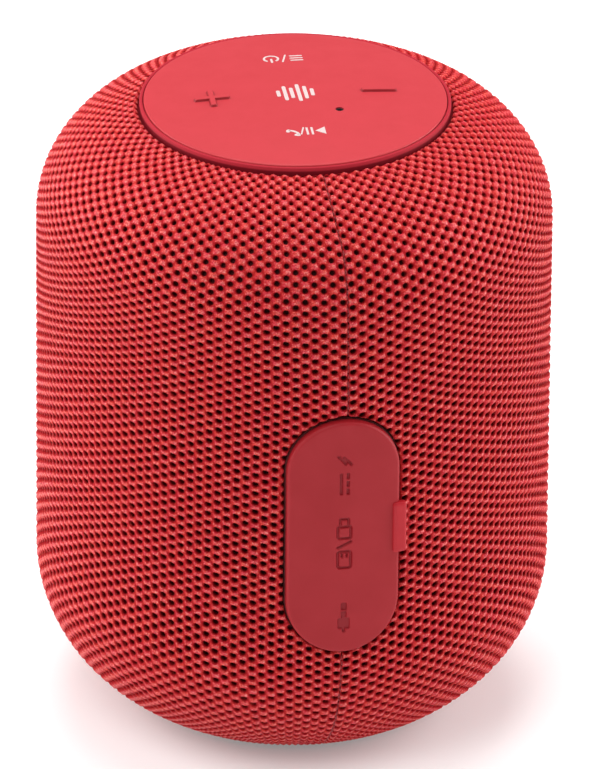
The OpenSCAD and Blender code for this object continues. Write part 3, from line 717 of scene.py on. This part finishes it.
STITCH_HALF = (0.3, 0.62)   # ranges of the stitches' half length, slant and shift, and the gaps
STITCH_SLANT = (-0.16, 0.16)
STITCH_SHIFT = (-0.08, 0.08)
STITCH_GAP = (0.1, 0.35)
STITCH_INSET, STITCH_ARCH = 0.5, 0.22
STITCH_R = 0.12


def tube(path, r, count):
    """A round cord along a smooth path of points; the ends are drawn in."""
    path = [np.array(p, float) for p in path]
    loops = []
    side = None
    for i, p in enumerate(path):
        ahead = path[min(i + 1, len(path) - 1)] - path[max(i - 1, 0)]
        ahead /= np.linalg.norm(ahead)
        if side is None:
            helper = np.array([0, 0, 1.0]) if abs(ahead[2]) < 0.9 else np.array([1.0, 0, 0])
            side = np.cross(ahead, helper)
        side = side - ahead * (side @ ahead)
        side /= np.linalg.norm(side)
        up = np.cross(ahead, side)
        small = 0.55 if i in (0, len(path) - 1) else 1.0
        loops.append([p + x * side + y * up for x, y, _ in circle(small * r, 0, count)])
    return loops


def on_seam(s, inset, across):
    """A point on the seam at arc length s, below the surface and beside the seam's middle."""
    phi = seam_angle(np.interp(s, LINE_S, LINE_Z)) + across / np.interp(s, LINE_S, LINE_R)
    return on_sleeve(s, phi, inset)


def make_seam():
    """Uneven stitches along the bottom of the seam's groove."""
    rng = np.random.default_rng(3)
    solid = Solid()
    s = 1.2
    while s < LINE_END - 0.8:
        half, slant, shift = (rng.uniform(*r) for r in (STITCH_HALF, STITCH_SLANT, STITCH_SHIFT))
        path = [on_seam(s + half * t, STITCH_INSET + STITCH_ARCH * t * t, shift + slant * t)
                for t in np.linspace(-1, 1, 7)]
        if opening_distance(path[3][0], path[3][2])[0] > 0.5:
            solid.loft(tube(path, STITCH_R, 8))
        s += 2 * half + rng.uniform(*STITCH_GAP)
    solid.make("seam_stitches", "thread", "housing", ["seam_thread"])


make_seam()


# ---------- control pad ----------

RING_R = 25.2               # radius the ring's profile is drawn for
RING_PROFILE = [
    (24.65, 104.5), (24.65, 106.02), (24.69, 106.13), (24.78, 106.19), (24.92, 106.21),
    (25.06, 106.2), (25.15, 106.14), (25.2, 106.03), (25.2, 104.8), (25.24, 104.7),
    (25.34, 104.66), (25.46, 104.64), (25.52, 104.6), (25.55, 104.55), (25.55, 104.45),
    (25.5, 104.4), (25.2, 104.4), (25.2, 98.12), (25.13, 98.05), (8.1, 98.05), (8, 98.15),
    (8, 99.4), (8.1, 99.5), (23.1, 99.5), (23.2, 99.6), (23.2, 104.4), (23.3, 104.5)]
PAD_FILLET = 0.28
WEB = 1.2                   # width of the thin silicone ring round each key
WEB_T = 0.45
MIC_HOLE = 0.7
STEM_R = 1.6                # stem under a key
SIGN_LENGTH, SIGN_WIDTH, SIGN_RISE = 5.6, 0.95, 0.4     # the raised plus and minus
INK_LOW, INK_HIGH = -0.03, 0.035            # the ink's faces, from the pad's face
KEYS = {"minus": 0, "mode": 90, "plus": 180, "play": 270}


def key_centre(name):
    angle = PAD_TURN + radians(KEYS[name])
    return KEY_RING * cos(angle), KEY_RING * sin(angle)


def turned(x, y, angle):
    return (x * cos(angle) - y * sin(angle), x * sin(angle) + y * cos(angle))


def make_cap_ring():
    revolve([(r + CAP_R - RING_R, z) for r, z in RING_PROFILE]).make(
        "cap_ring", "ring_plastic", "housing", ["cap_frame"])


def make_pad():
    """The pad's skin: a domed disc with a rounded rim, open where the keys and the hole are."""
    edge = PAD_R - PAD_FILLET
    holes = [(*key_centre(k), KEY_EDGE + WEB, 96) for k in KEYS] + [(*MIC[:2], MIC_HOLE, 24)]
    loops = [circle(edge, 0, 256)] + [circle(r, 0, n, x, y) for x, y, r, n in holes]
    rows = np.arange(-edge, edge, 0.866)    # a lattice of triangles 1 mm wide
    points = [(x + (i % 2) / 2, y) for i, y in enumerate(rows)
              for x in np.arange(-edge, edge)]
    points = [p for p in points if hypot(*p) < edge - 0.5 and
              all(hypot(p[0] - h[0], p[1] - h[1]) > h[2] + 0.4 for h in holes)]
    flat, tris = fill(loops, points)
    solid = Solid()
    add_sheet(solid, flat, tris, dome_z(*flat.T), True)
    add_sheet(solid, flat, tris, np.full(len(flat), PAD_LOW[2]), False)
    rim = [circle(edge + PAD_FILLET * sin(a),
                  dome_z(edge, 0) - PAD_FILLET * (1 - cos(a)), 256)
           for a in np.linspace(0, pi / 2, 6)]
    rim += [circle(PAD_R, PAD_LOW[2] + 0.1, 256), circle(edge, PAD_LOW[2], 256)]
    solid.loft(rim[::-1], ends=False)
    for hx, hy, r, n in holes:
        wall = circle(r, PAD_LOW[2], n, hx, hy)
        solid.loft([[(x, y, dome_z(x, y)) for x, y, _ in wall], wall], ends=False)
    solid.make("pad_skin", "pad_silicone", "housing", ["control_pad"])


def box_distance(x, y, w, h, soft=0.0):
    """Distance to a rectangle of full size w by h, its corners rounded by soft."""
    dx = np.abs(x) - w / 2 + soft
    dy = np.abs(y) - h / 2 + soft
    outside = np.hypot(np.maximum(dx, 0), np.maximum(dy, 0))
    return outside + np.minimum(np.maximum(dx, dy), 0) - soft


def sign_distance(name, x, y):
    """Distance from the raised plus or minus, measured from the key's middle."""
    x, y = turned(x, y, -PAD_TURN)
    across = box_distance(x, y, SIGN_LENGTH, SIGN_WIDTH, 0.2)
    if name == "plus":
        return np.minimum(across, box_distance(x, y, SIGN_WIDTH, SIGN_LENGTH, 0.2))
    return across if name == "minus" else np.full_like(x, FAR)


def sign_height(name, x, y):
    """Height of the raised plus or minus over the key's face."""
    return SIGN_RISE * (1 - smoothstep(-0.06, 0.09, sign_distance(name, x, y)))


def key_loop(name, rho, count, drop=None):
    """A circle of radius rho round a key's middle, on the dome or at a fixed height."""
    cx, cy = key_centre(name)
    a = np.arange(count) * TURN / count
    x, y = rho * np.cos(a), rho * np.sin(a)
    z = dome_z(cx + x, cy + y) + sign_height(name, x, y)
    z = z - drop if drop else z
    return list(zip(cx + x, cy + y, z))


def make_keys():
    for name in KEYS:
        count, steps = (160, 72) if name in ("plus", "minus") else (96, 12)
        loops = [key_loop(name, KEY_EDGE * (1 - i / steps), count) for i in range(steps)]
        under = [key_loop(name, rho, count, drop) for rho, drop in (
            (KEY_EDGE, 1.2), (STEM_R + 0.05, 1.2), (STEM_R, 1.35))]
        low = span("key_" + name)[0][2]
        under.append([(x, y, low) for x, y, _ in under[-1]])
        key = Solid().loft(under[::-1] + loops).make(
            f"key_{name}_top", "pad_silicone", name + "_key", ["key_" + name], sharp=45)
        x, y, _ = points_of(key)
        cx, cy = key_centre(name)
        away = sign_distance(name, x - cx, y - cy)
        # painted shade round the foot of the raised plus and minus
        mark_points(key, "foot", np.exp(-((away - 0.05) / 0.13) ** 2))
        make_web(name)


def make_web(name):
    """The thin silicone ring that joins a key to the pad."""
    count = 96
    rhos = np.linspace(KEY_EDGE, KEY_EDGE + WEB, 9)
    top = [key_loop(name, rho, count) for rho in rhos]
    low = [key_loop(name, rho, count, WEB_T) for rho in rhos[::-1]]
    web = Solid().loft((top + low)[::-1], ring=True).make(f"pad_web_{name}", "pad_silicone")
    cx, cy = key_centre(name)
    centre = np.array([cx, cy, dome_z(cx, cy)])
    axis = centre - (0, 0, PAD_TOP - DOME_R)
    axis /= np.linalg.norm(axis)
    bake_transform(web)


def arc_band(cx, cy, r, width, start, end, steps):
    """Outline of a curved stroke, angles in degrees."""
    return (arc(cx, cy, r + width / 2, start, end, steps)
            + arc(cx, cy, r - width / 2, end, start, steps))


def stroke(x0, y0, x1, y1, width, round_ends=True):
    """Outline of a straight stroke."""
    along = np.degrees(np.arctan2(y1 - y0, x1 - x0))
    spread, steps, reach = (90, 12, width / 2) if round_ends else (45, 1, width / sqrt(2))
    return (arc(x1, y1, reach, along - spread, along + spread, steps)
            + arc(x0, y0, reach, along + 180 - spread, along + 180 + spread, steps))


def print_icons(name, body, centre, outlines):
    """Thin ink shapes on the dome, drawn as the user at +Y reads them."""
    solid = Solid()
    for outline_points in outlines:
        placed = [turned(-p, -q, PAD_TURN) for p, q in outline_points]
        world = [(centre[0] + x, centre[1] + y) for x, y in placed]
        flat, tris = fill([world])
        solid.loft([[(x, y, dome_z(x, y) + lift) for x, y in world]
                    for lift in (INK_LOW, INK_HIGH)], ends=False)
        for lift, up in ((INK_HIGH, True), (INK_LOW, False)):
            add_sheet(solid, flat, tris, dome_z(*flat.T) + lift, up)
    solid.make(name, "print_white", body)


def make_prints():
    line = 0.36
    slash = stroke(-0.35, -1.35, 0.35, 1.35, 0.28)
    menu = [stroke(-2.9, q, -1.1, q, line) for q in (-0.9, 0, 0.9)]
    power = [arc_band(2.1, -0.1, 1.15, line, 125, 415, 28), stroke(2.1, 0.1, 2.1, 1.35, line)]
    print_icons("print_mode", "mode_key", key_centre("mode"), menu + [slash] + power)
    play = [[(-3.0, -1.2), (-1.35, 0), (-3.0, 1.2)]]
    pause = [stroke(p, -1.0, p, 1.0, line, False) for p in (-0.85, -0.05)]
    handset = [arc_band(3.15, 1.25, 1.75, 0.45, 188, 262, 14),
               stroke(1.5, 1.15, 1.85, 1.05, 0.65), stroke(2.95, -0.5, 3.05, -0.2, 0.65)]
    slash = stroke(0.45, -1.2, 1.0, 0.9, 0.26)
    print_icons("print_play", "play_key", key_centre("play"), play + pause + [slash] + handset)
    heights = (2.6, 4.6, 6.2, 3.8, 5.2, 2.2)
    bars = [stroke(-2.75 + 1.1 * i, -h / 2 + 0.3, -2.75 + 1.1 * i, h / 2 - 0.3, 0.62)
            for i, h in enumerate(heights)]
    print_icons("print_bars", "housing", (0, 0), bars)


def make_mic_boot():
    """Rubber boot over the microphone, its snout reaching up the pad's hole."""
    low, high = span("mic_gasket")
    top = dome_z(MIC[0], MIC[1]) - 0.16
    profile = [(0.3, low[2]), (2.1, low[2]), (2.2, low[2] + 0.1), (2.2, high[2] - 0.1),
               (2.1, high[2]), (0.78, high[2]), (0.68, high[2] + 0.1), (0.68, top - 0.08),
               (0.62, top), (0.36, top), (0.3, top - 0.08)]
    revolve(profile, 48, MIC[0], MIC[1]).make(
        "mic_boot", "black_rubber", "housing", ["mic_gasket"])


make_cap_ring()
make_pad()
make_keys()
make_prints()
make_mic_boot()


# ---------- port cover ----------

COVER_OUT = 42.9 * BODY_R / 42      # radius of the flap's face
COVER_IN = BEZEL_R + 0.1
COVER_FILLET = 0.55
MARK_DEPTH = 0.32
MARK_MIDDLES = (-14.35, -0.95, 11.25)       # plug, card and stick, supply
MARK_HALVES = (2.9, 5.0, 3.9)
MARK_REACH = 1.6                            # half the width of the finer mesh round the marks
FINE_STEP = 0.11
RIB_W, RIB_H = COVER_W - 4.86, COVER_H - 4.8
RIB_T = 1.2


def stadium_loop(w, h, count=168):
    """Points of a stadium, evenly by parameter, from the right-hand side upwards."""
    r, half = w / 2, (h - w) / 2
    line = count // 6
    points = [(r, -half + 2 * half * i / line) for i in range(line)]
    points += arc(0, half, r, 0, 180, count // 3)[:-1]
    return points + [(-x, -z) for x, z in points]


def wrap(x, z, r):
    """A point of the flap's plan, wrapped on a cylinder of radius r."""
    return (x, -np.sqrt(r * r - x * x), z + COVER_Z)


def segment_distance(x, y, x0, y0, x1, y1):
    dx, dy = x1 - x0, y1 - y0
    t = np.clip(((x - x0) * dx + (y - y0) * dy) / (dx * dx + dy * dy), 0, 1)
    return np.hypot(x - x0 - t * dx, y - y0 - t * dy)


def plug_mark(p, q):
    """A jack plug: p runs up the flap, q across it."""
    grip = box_distance(p + 1.15, q, 1.9, 1.9, 0.3)
    pin = np.maximum(box_distance(p - 1.2, q, 2.8, 0.86, 0.35), 0.15 - np.abs(p - 1.15))
    cord = segment_distance(p, q, -2.5, 0, -2.0, 0) - 0.24
    return np.minimum.reduce([grip, pin, cord])


def card_mark(p, q):
    """A memory card and a memory stick with a stroke between them."""
    card = np.abs(box_distance(p + 2.95, q, 2.9, 2.1, 0.35)) - 0.2
    pads = box_distance(p + 2.2, np.abs(q) - 0.4, 0.7, 0.3)
    slash = segment_distance(p, q, -0.75, -1.05, 0.25, 1.05) - 0.19
    stick = np.abs(box_distance(p - 1.95, q, 2.1, 2.1, 0.25)) - 0.2
    cap = np.abs(box_distance(p - 3.65, q, 1.4, 1.35, 0.1)) - 0.19
    return np.minimum.reduce([card, pads, slash, stick, cap])


def supply_mark(p, q):
    """A direct-current sign and a bolt."""
    bars = [box_distance(p + 1.5, q + 0.55, 3.8, 0.45, 0.1)]
    bars += [box_distance(p + 1.5 - 1.4 * k, q - 0.55, 1.0, 0.45, 0.1) for k in (-1, 0, 1)]
    bolt = [(3.4, -1.0), (2.1, 0.15), (3.2, -0.15), (2.0, 1.0)]
    bars += [segment_distance(p, q, *a, *b) - 0.22 for a, b in zip(bolt, bolt[1:])]
    return np.minimum.reduce(bars)


def mark_distance(x, z):
    """Distance to the nearest of the three marks pressed into the flap."""
    shapes = zip((plug_mark, card_mark, supply_mark), MARK_MIDDLES)
    return np.minimum.reduce([shape(z - at, x) for shape, at in shapes])


def cover_face(x, z):
    """Radius of the flap's face, with the marks pressed in."""
    return COVER_OUT - MARK_DEPTH * (1 - smoothstep(-0.07, 0.09, mark_distance(x, z)))


def in_mark_area(x, z, margin):
    return abs(x) < MARK_REACH + margin and any(
        abs(z - at) < half + margin for at, half in zip(MARK_MIDDLES, MARK_HALVES))


def in_cover(x, z, margin):
    """True inside the flap's outline drawn in by margin."""
    half = (COVER_H - COVER_W) / 2
    return np.hypot(x, z - np.clip(z, -half, half)) < COVER_W / 2 - margin


def cover_grid(half_w, half_h, step, margin):
    return [(x, z) for x in np.arange(-half_w, half_w + 0.1, step)
            for z in np.arange(-half_h, half_h + 0.1, step) if in_cover(x, z, margin)]


def cover_loop(inset, r):
    loop = stadium_loop(COVER_W - 2 * inset, COVER_H - 2 * inset)
    return [wrap(x, z, r) for x, z in loop]


def add_cover_face(solid, inset, points, radius, up):
    """One face of the flap, at the radius that a function of x and z gives."""
    border = stadium_loop(COVER_W - 2 * inset, COVER_H - 2 * inset)
    flat, tris = fill([border], points)
    x, z = flat[:, 0], flat[:, 1]
    solid.add(np.column_stack(wrap(x, z, radius(x, z))), orient(flat, tris, up))


def add_cover_rib(solid):
    """The rib on the flap's back that plugs the pocket."""
    tip, soft = COVER_HIGH[1], 0.25
    rib = []
    for inset, y in ((0, None), (0, tip - soft), (soft, tip), (RIB_T - soft, tip),
                     (RIB_T, tip - soft), (RIB_T, None)):
        loop = stadium_loop(RIB_W - 2 * inset, RIB_H - 2 * inset)
        rib.append([(x, wrap(x, z, COVER_IN + 0.1)[1] if y is None else y, z + COVER_Z)
                    for x, z in loop])
    solid.loft(rib, ring=True)


def make_cover():
    solid = Solid()
    rounding = [(COVER_FILLET * (1 - sin(a)), COVER_OUT - COVER_FILLET * (1 - cos(a)))
                for a in np.linspace(0, pi / 2, 8)]
    edge = rounding + [(0.0, COVER_IN + 0.2), (0.06, COVER_IN + 0.06), (0.2, COVER_IN)]
    solid.loft([cover_loop(inset, r) for inset, r in edge], ends=False)
    coarse = [p for p in cover_grid(9, 21, 0.9, COVER_FILLET + 0.5) if not in_mark_area(*p, 0.4)]
    fine = [(x, at + z) for at, half in zip(MARK_MIDDLES, MARK_HALVES)
            for z in np.arange(-half, half, FINE_STEP)
            for x in np.arange(-MARK_REACH, MARK_REACH, FINE_STEP)]
    add_cover_face(solid, COVER_FILLET, coarse + fine, cover_face, True)
    add_cover_face(solid, 0.2, cover_grid(8.4, 20, 1.2, 0.8),
                   lambda x, z: np.full_like(x, COVER_IN), False)
    add_cover_rib(solid)
    cover = solid.make("flap_skin", "cover_silicone", "flap", ["port_cover"], sharp=50)
    x, y, z = points_of(cover)
    # painted shade inside the marks pressed into the flap
    pressed = 1 - smoothstep(-0.05, 0.12, mark_distance(x, z - COVER_Z))
    mark_points(cover, "mark", pressed * (np.hypot(x, y) > COVER_OUT - 0.5))


TAB_TURN = (10.8, 13.95)            # degrees from the flap's middle
TAB_UP = 0.8                        # over the flap's middle
TAB_H = 9.0


def make_tab():
    """The pull tab: a rounded bar that stands over the flap's right-hand edge."""
    phi = np.radians(TAB_TURN)
    low = np.array([BODY_R * phi[0], BODY_R + 0.12, COVER_Z + TAB_UP - TAB_H / 2])
    high = np.array([BODY_R * phi[1], COVER_OUT + 0.5, COVER_Z + TAB_UP + TAB_H / 2])
    verts, faces = rounded_box(low, high, 0.5, 10)
    bent = [(r * sin(a / BODY_R), -r * cos(a / BODY_R), z) for a, r, z in verts]
    # the tab's silicone is a lighter copy of the flap's, painted light
    make("flap_tab", bent, faces, "cover_silicone", "flap",
         material=MATERIALS["tab_silicone"], sharp=60)


def rounded_box(low, high, soft, n):
    """A box with rounded edges: a subdivided box pulled onto its inner box plus a radius."""
    verts, faces = [], []
    share = np.concatenate([np.linspace(0, 0.12, 4), np.linspace(0.12, 0.88, n)[1:-1],
                            np.linspace(0.88, 1, 4)])
    m = len(share)
    for axis in range(3):
        a, b = (axis + 1) % 3, (axis + 2) % 3
        for end in (0, 1):
            start = len(verts)
            for i in share:
                for j in share:
                    p = np.zeros(3)
                    p[axis] = end
                    p[a], p[b] = i, j
                    p = low + p * (high - low)
                    core = np.clip(p, low + soft, high - soft)
                    away = p - core
                    verts.append(core + soft * away / max(np.linalg.norm(away), 1e-9))
            for i in range(m - 1):
                for j in range(m - 1):
                    k = start + i * m + j
                    quad = (k, k + m, k + m + 1, k + 1)
                    faces.append(quad if end else quad[::-1])
    return verts, faces


TONGUE_T = 0.64


def rounded_loop(x, y, z, w, h, soft, count=6):
    """An upright rounded rectangle across Y: w along X and h along Z."""
    points = []
    for k, (sx, sz) in enumerate(((1, 1), (-1, 1), (-1, -1), (1, -1))):
        corner = arc(x + sx * (w / 2 - soft), z + sz * (h / 2 - soft), soft,
                     90 * k, 90 * k + 90, count - 1)
        points += [(px, y, pz) for px, pz in corner]
    return points


def make_tongue():
    """The flap's tongue, from its barb inside the housing out to the flap."""
    low, high = span("cover_tether")
    x, _, z = (low + high) / 2
    h = high[2] - low[2]
    inner = high[1]
    barb = [(0.0, 0.9), (0.12, 1.3), (0.7, 2.0), (0.95, 2.0), (1.0, 1.9), (1.0, TONGUE_T)]
    loops = [rounded_loop(x, inner - depth, z, w, h, min(0.25, w / 3)) for depth, w in barb]
    for y in [*np.linspace(inner - 1.2, -39.4, 5), *np.linspace(-39.5, -41.5, 24)]:
        loops.append(rounded_loop(x, y, z, TONGUE_T, h, 0.2))
    tongue = Solid().loft(loops).make("flap_tongue", "cover_silicone", replaces=["cover_tether"])
    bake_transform(tongue)


make_cover()
make_tab()
make_tongue()


# ---------- foot and base ----------

def make_foot():
    """Rubber foot with a rolled rim and three grooves."""
    high = span("foot_pad")[1]
    r, top = high[0], high[2]
    profile = [(0.3, top), (r - 0.3, top), (r, top - 0.25)]
    profile += arc(r - 0.5, 0.5, 0.5, 0, -90, 6)
    for groove in (r - 2.4, r - 5.6, r - 8.8):
        profile += [(groove + 0.08, 0), (groove, 0.08), (groove - 0.1, 0.3),
                    (groove - 0.7, 0.3), (groove - 0.8, 0.08), (groove - 0.88, 0)]
    profile += [(6.0, 0), (5.9, 0.1), (5.7, 0.45), (0.3, 0.45)]
    revolve(profile, 192).make("foot", "foot_silicone", "housing", ["foot_pad"])


make_foot()


# ---------- driver's soft parts ----------

CONE_LOW, CONE_HIGH = span("driver_cone")
DRIVER_Z = (CONE_LOW[2] + CONE_HIGH[2]) / 2
CONE_EDGE = (CONE_HIGH[2] - CONE_LOW[2]) / 2


def soft_ring(name, profile, slot, node):
    """A closed (r, y) profile turned about the driver's axis."""
    loops = [[(x, y, z + DRIVER_Z) for x, z, _ in circle(r, 0, 160)] for r, y in profile]
    piece = Solid().loft(loops, ring=True).make(name, slot, replaces=[node])
    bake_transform(piece)


def make_surround():
    """The rubber roll in two halves that meet at its crest."""
    low, high = span("cone_surround")
    base, outer_r = low[1], (high[2] - low[2]) / 2
    middle_r = (outer_r + CONE_EDGE) / 2 + 0.05
    roll, t = high[1] - base, 0.4
    crest = base + roll
    for name, side, start_y, end_y in (("surround_outer", 1, base, crest + roll),
                                       ("surround_inner", -1, crest + roll, base)):
        half_roll = arc(0, base, roll, 0, 90, 11) + arc(0, base, roll - t, 90, 0, 11)
        profile = [(middle_r + side * r, y) for r, y in half_roll]
        soft_ring(name, profile, "black_rubber", "cone_surround")


def make_spider():
    """Terraced cloth disc from the basket up to the voice coil."""
    low, high = span("spider")
    outer_r, base = (high[2] - low[2]) / 2, low[1]
    steps = 6
    top = [(outer_r, base + 0.35), (outer_r - 1.8, base + 0.35)]
    for k in range(steps):
        for part in range(4):
            t = (k + part / 4) / steps
            rise = (k + smoothstep(0.2, 0.8, part / 4)) / steps
            top.append((outer_r - 1.8 - t * (outer_r - 9.6), base + 0.35 + 1.3 * rise))
    top += [(7.25, base + 1.75)]
    back = [(r, y - 0.3) for r, y in top[::-1]]
    soft_ring("spider_disc", top + back, "spider_cloth", "spider")


make_surround()
make_spider()


# ---------- wires ----------

def smooth_path(points, steps=14):
    """A smooth curve through the points."""
    points = [np.array(p, float) for p in points]
    ends = [2 * points[0] - points[1]] + points + [2 * points[-1] - points[-2]]
    path = []
    for a, b, c, d in zip(ends, ends[1:], ends[2:], ends[3:]):
        for t in np.linspace(0, 1, steps, endpoint=False):
            path.append(0.5 * (2 * b + (c - a) * t + (2 * a - 5 * b + 4 * c - d) * t * t
                               + (3 * b - 3 * c + d - a) * t ** 3))
    return path + [points[-1]]


def make_wire(name, points, r, slot, node):
    """A sleeved wire along a smooth path."""
    Solid().loft(tube(smooth_path(points), r, 16)).make(name, slot, "housing", [node])


LEAD_TOP = span("battery_cell")[1][2] + 0.1
BOARD_LOW = span("wire_sockets")[1][2] - 1.78
make_wire("battery_wire", [(15.5, -11, LEAD_TOP), (12, -9.5, 85.5), (4, -7.5, 84), (0.1, -7, 76),
                           (0.1, -7, 64.05)], 0.6, "wire_red", "battery_lead")
make_wire("key_cable", [(0, 0, BOARD_LOW), (0.6, -3, 89), (0.4, -11, 81), (0.1, -14, 72.3)],
          0.9, "wire_black", "button_cable")
make_wire("driver_wire", [(0, 11.95, DRIVER_Z - 20.6), (0, 8, DRIVER_Z - 20.6), (0, 0, 32),
                          (0.1, -4.7, 30)], 0.6, "wire_black", "speaker_lead")


# ---------- the CAD parts that are shown as they are ----------

BEVELLED = {"port_bezel", "base_plate", "main_board", "button_board", "board_chips",
            "bluetooth_module", "wire_sockets", "usb_socket", "card_socket", "charge_socket",
            "audio_jack", "driver_terminal", "switch_bodies"}


BEVEL_WIDTH = 0.12


def soften(piece):
    """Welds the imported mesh's split corners and rounds its edges."""
    piece.modifiers.new("weld", "WELD").merge_threshold = 1e-6
    bevel = piece.modifiers.new("bevel", "BEVEL")
    bevel.width = BEVEL_WIDTH * MM
    bevel.segments = 2
    bevel.angle_limit = radians(50)
    bevel.use_clamp_overlap = True
    bevel.harden_normals = False


def finish_cad():
    """Gives every CAD piece that still shows the material of its slot."""
    for part in frame["record"]["subparts"]:
        piece = NODES[part["node"]]
        if piece.hide_render:
            continue
        piece.data.materials.clear()
        piece.data.materials.append(MATERIALS[part["material_slot"]])
        if part["node"] in BEVELLED:
            soften(piece)


finish_cad()


# ---------- stage ----------

AZIMUTH = -11.4
ELEVATION = 27.08
DISTANCE = 2.3                      # in metres, as all lengths of the stage
LENS = 659
ROLL = 0.48
PIVOT = Vector((0, 0, 0.0456))
AIM_RIGHT, AIM_UP = 0.0009, 0.00809         # from the pivot to the middle of the picture
FOCUS = Vector((0, 0, 0.055))
KEY_POWER, SIDE_POWER, TOP_POWER, SKY = 3.4, 5.3, 5.6, 0.36
FLOOR_HALF, FLOOR_DEPTH = 3000, 10          # in millimetres
FLOOR_GLOW = 0.22


def make_floor():
    corners = ((-1, -1), (1, -1), (1, 1), (-1, 1))
    low, high = [[(x * FLOOR_HALF, y * FLOOR_HALF, z) for x, y in corners]
                 for z in (-FLOOR_DEPTH, 0)]
    s = Shader("studio_floor")
    s.set(Base_Color=s.mix(s.noise(60, 3), (0.80, 0.80, 0.80), (0.84, 0.84, 0.84)),
          Roughness=0.6, Specular_IOR_Level=0.0, Emission_Color=(1, 1, 1, 1),
          Emission_Strength=FLOOR_GLOW)
    Solid().loft([low, high]).make("studio_floor", None, material=s.material)


def add_to_stage(name, data, place, target):
    """A light or camera at one place that looks at another."""
    made = bpy.data.objects.new(name, data)
    bpy.context.scene.collection.objects.link(made)
    made.location = place
    made.rotation_mode = "QUATERNION"
    made.rotation_quaternion = (target - place).to_track_quat("-Z", "Y")
    return made


def area_light(name, offset, size, power):
    """A soft box at an offset from the focus, which it faces."""
    data = bpy.data.lights.new(name, "AREA")
    data.shape = "RECTANGLE"
    data.size, data.size_y = size
    data.energy = power
    add_to_stage(name, data, FOCUS + offset, FOCUS)


def view_axes():
    a, e = radians(AZIMUTH), radians(ELEVATION)
    back = Vector((sin(a) * cos(e), -cos(a) * cos(e), sin(e)))
    right = Vector((cos(a), sin(a), 0))
    return back, right, back.cross(right)


def make_camera():
    back, right, up = view_axes()
    data = bpy.data.cameras.new("camera")
    data.lens = LENS
    data.sensor_width = 36
    data.clip_end = 20
    camera = add_to_stage("camera", data, PIVOT + back * DISTANCE,
                          PIVOT + right * AIM_RIGHT + up * AIM_UP)
    camera.rotation_quaternion @= Quaternion((0, 0, 1), radians(ROLL))
    bpy.context.scene.camera = camera


def make_lights():
    back, right, _ = view_axes()
    back = Vector((back.x, back.y, 0)).normalized()
    up = Vector((0, 0, 1))
    area_light("key_light", back * 0.5 - right * 0.25 + up * 0.75, (0.5, 0.5), KEY_POWER)
    for name, side in (("side_light_left", -1), ("side_light_right", 1)):
        area_light(name, right * side * 0.6 - back * 0.12 + up * 0.1, (0.5, 0.8), SIDE_POWER)
    area_light("top_light", up * 0.9 - back * 0.25, (0.6, 0.6), TOP_POWER)
    world = bpy.data.worlds.new("studio")
    bpy.context.scene.world = world
    world.use_nodes = True
    sky = world.node_tree.nodes["Background"].inputs
    sky["Color"].default_value = (1, 1, 1, 1)
    sky["Strength"].default_value = SKY
    bpy.context.scene.view_settings.view_transform = "Standard"


make_floor()
make_camera()
make_lights()
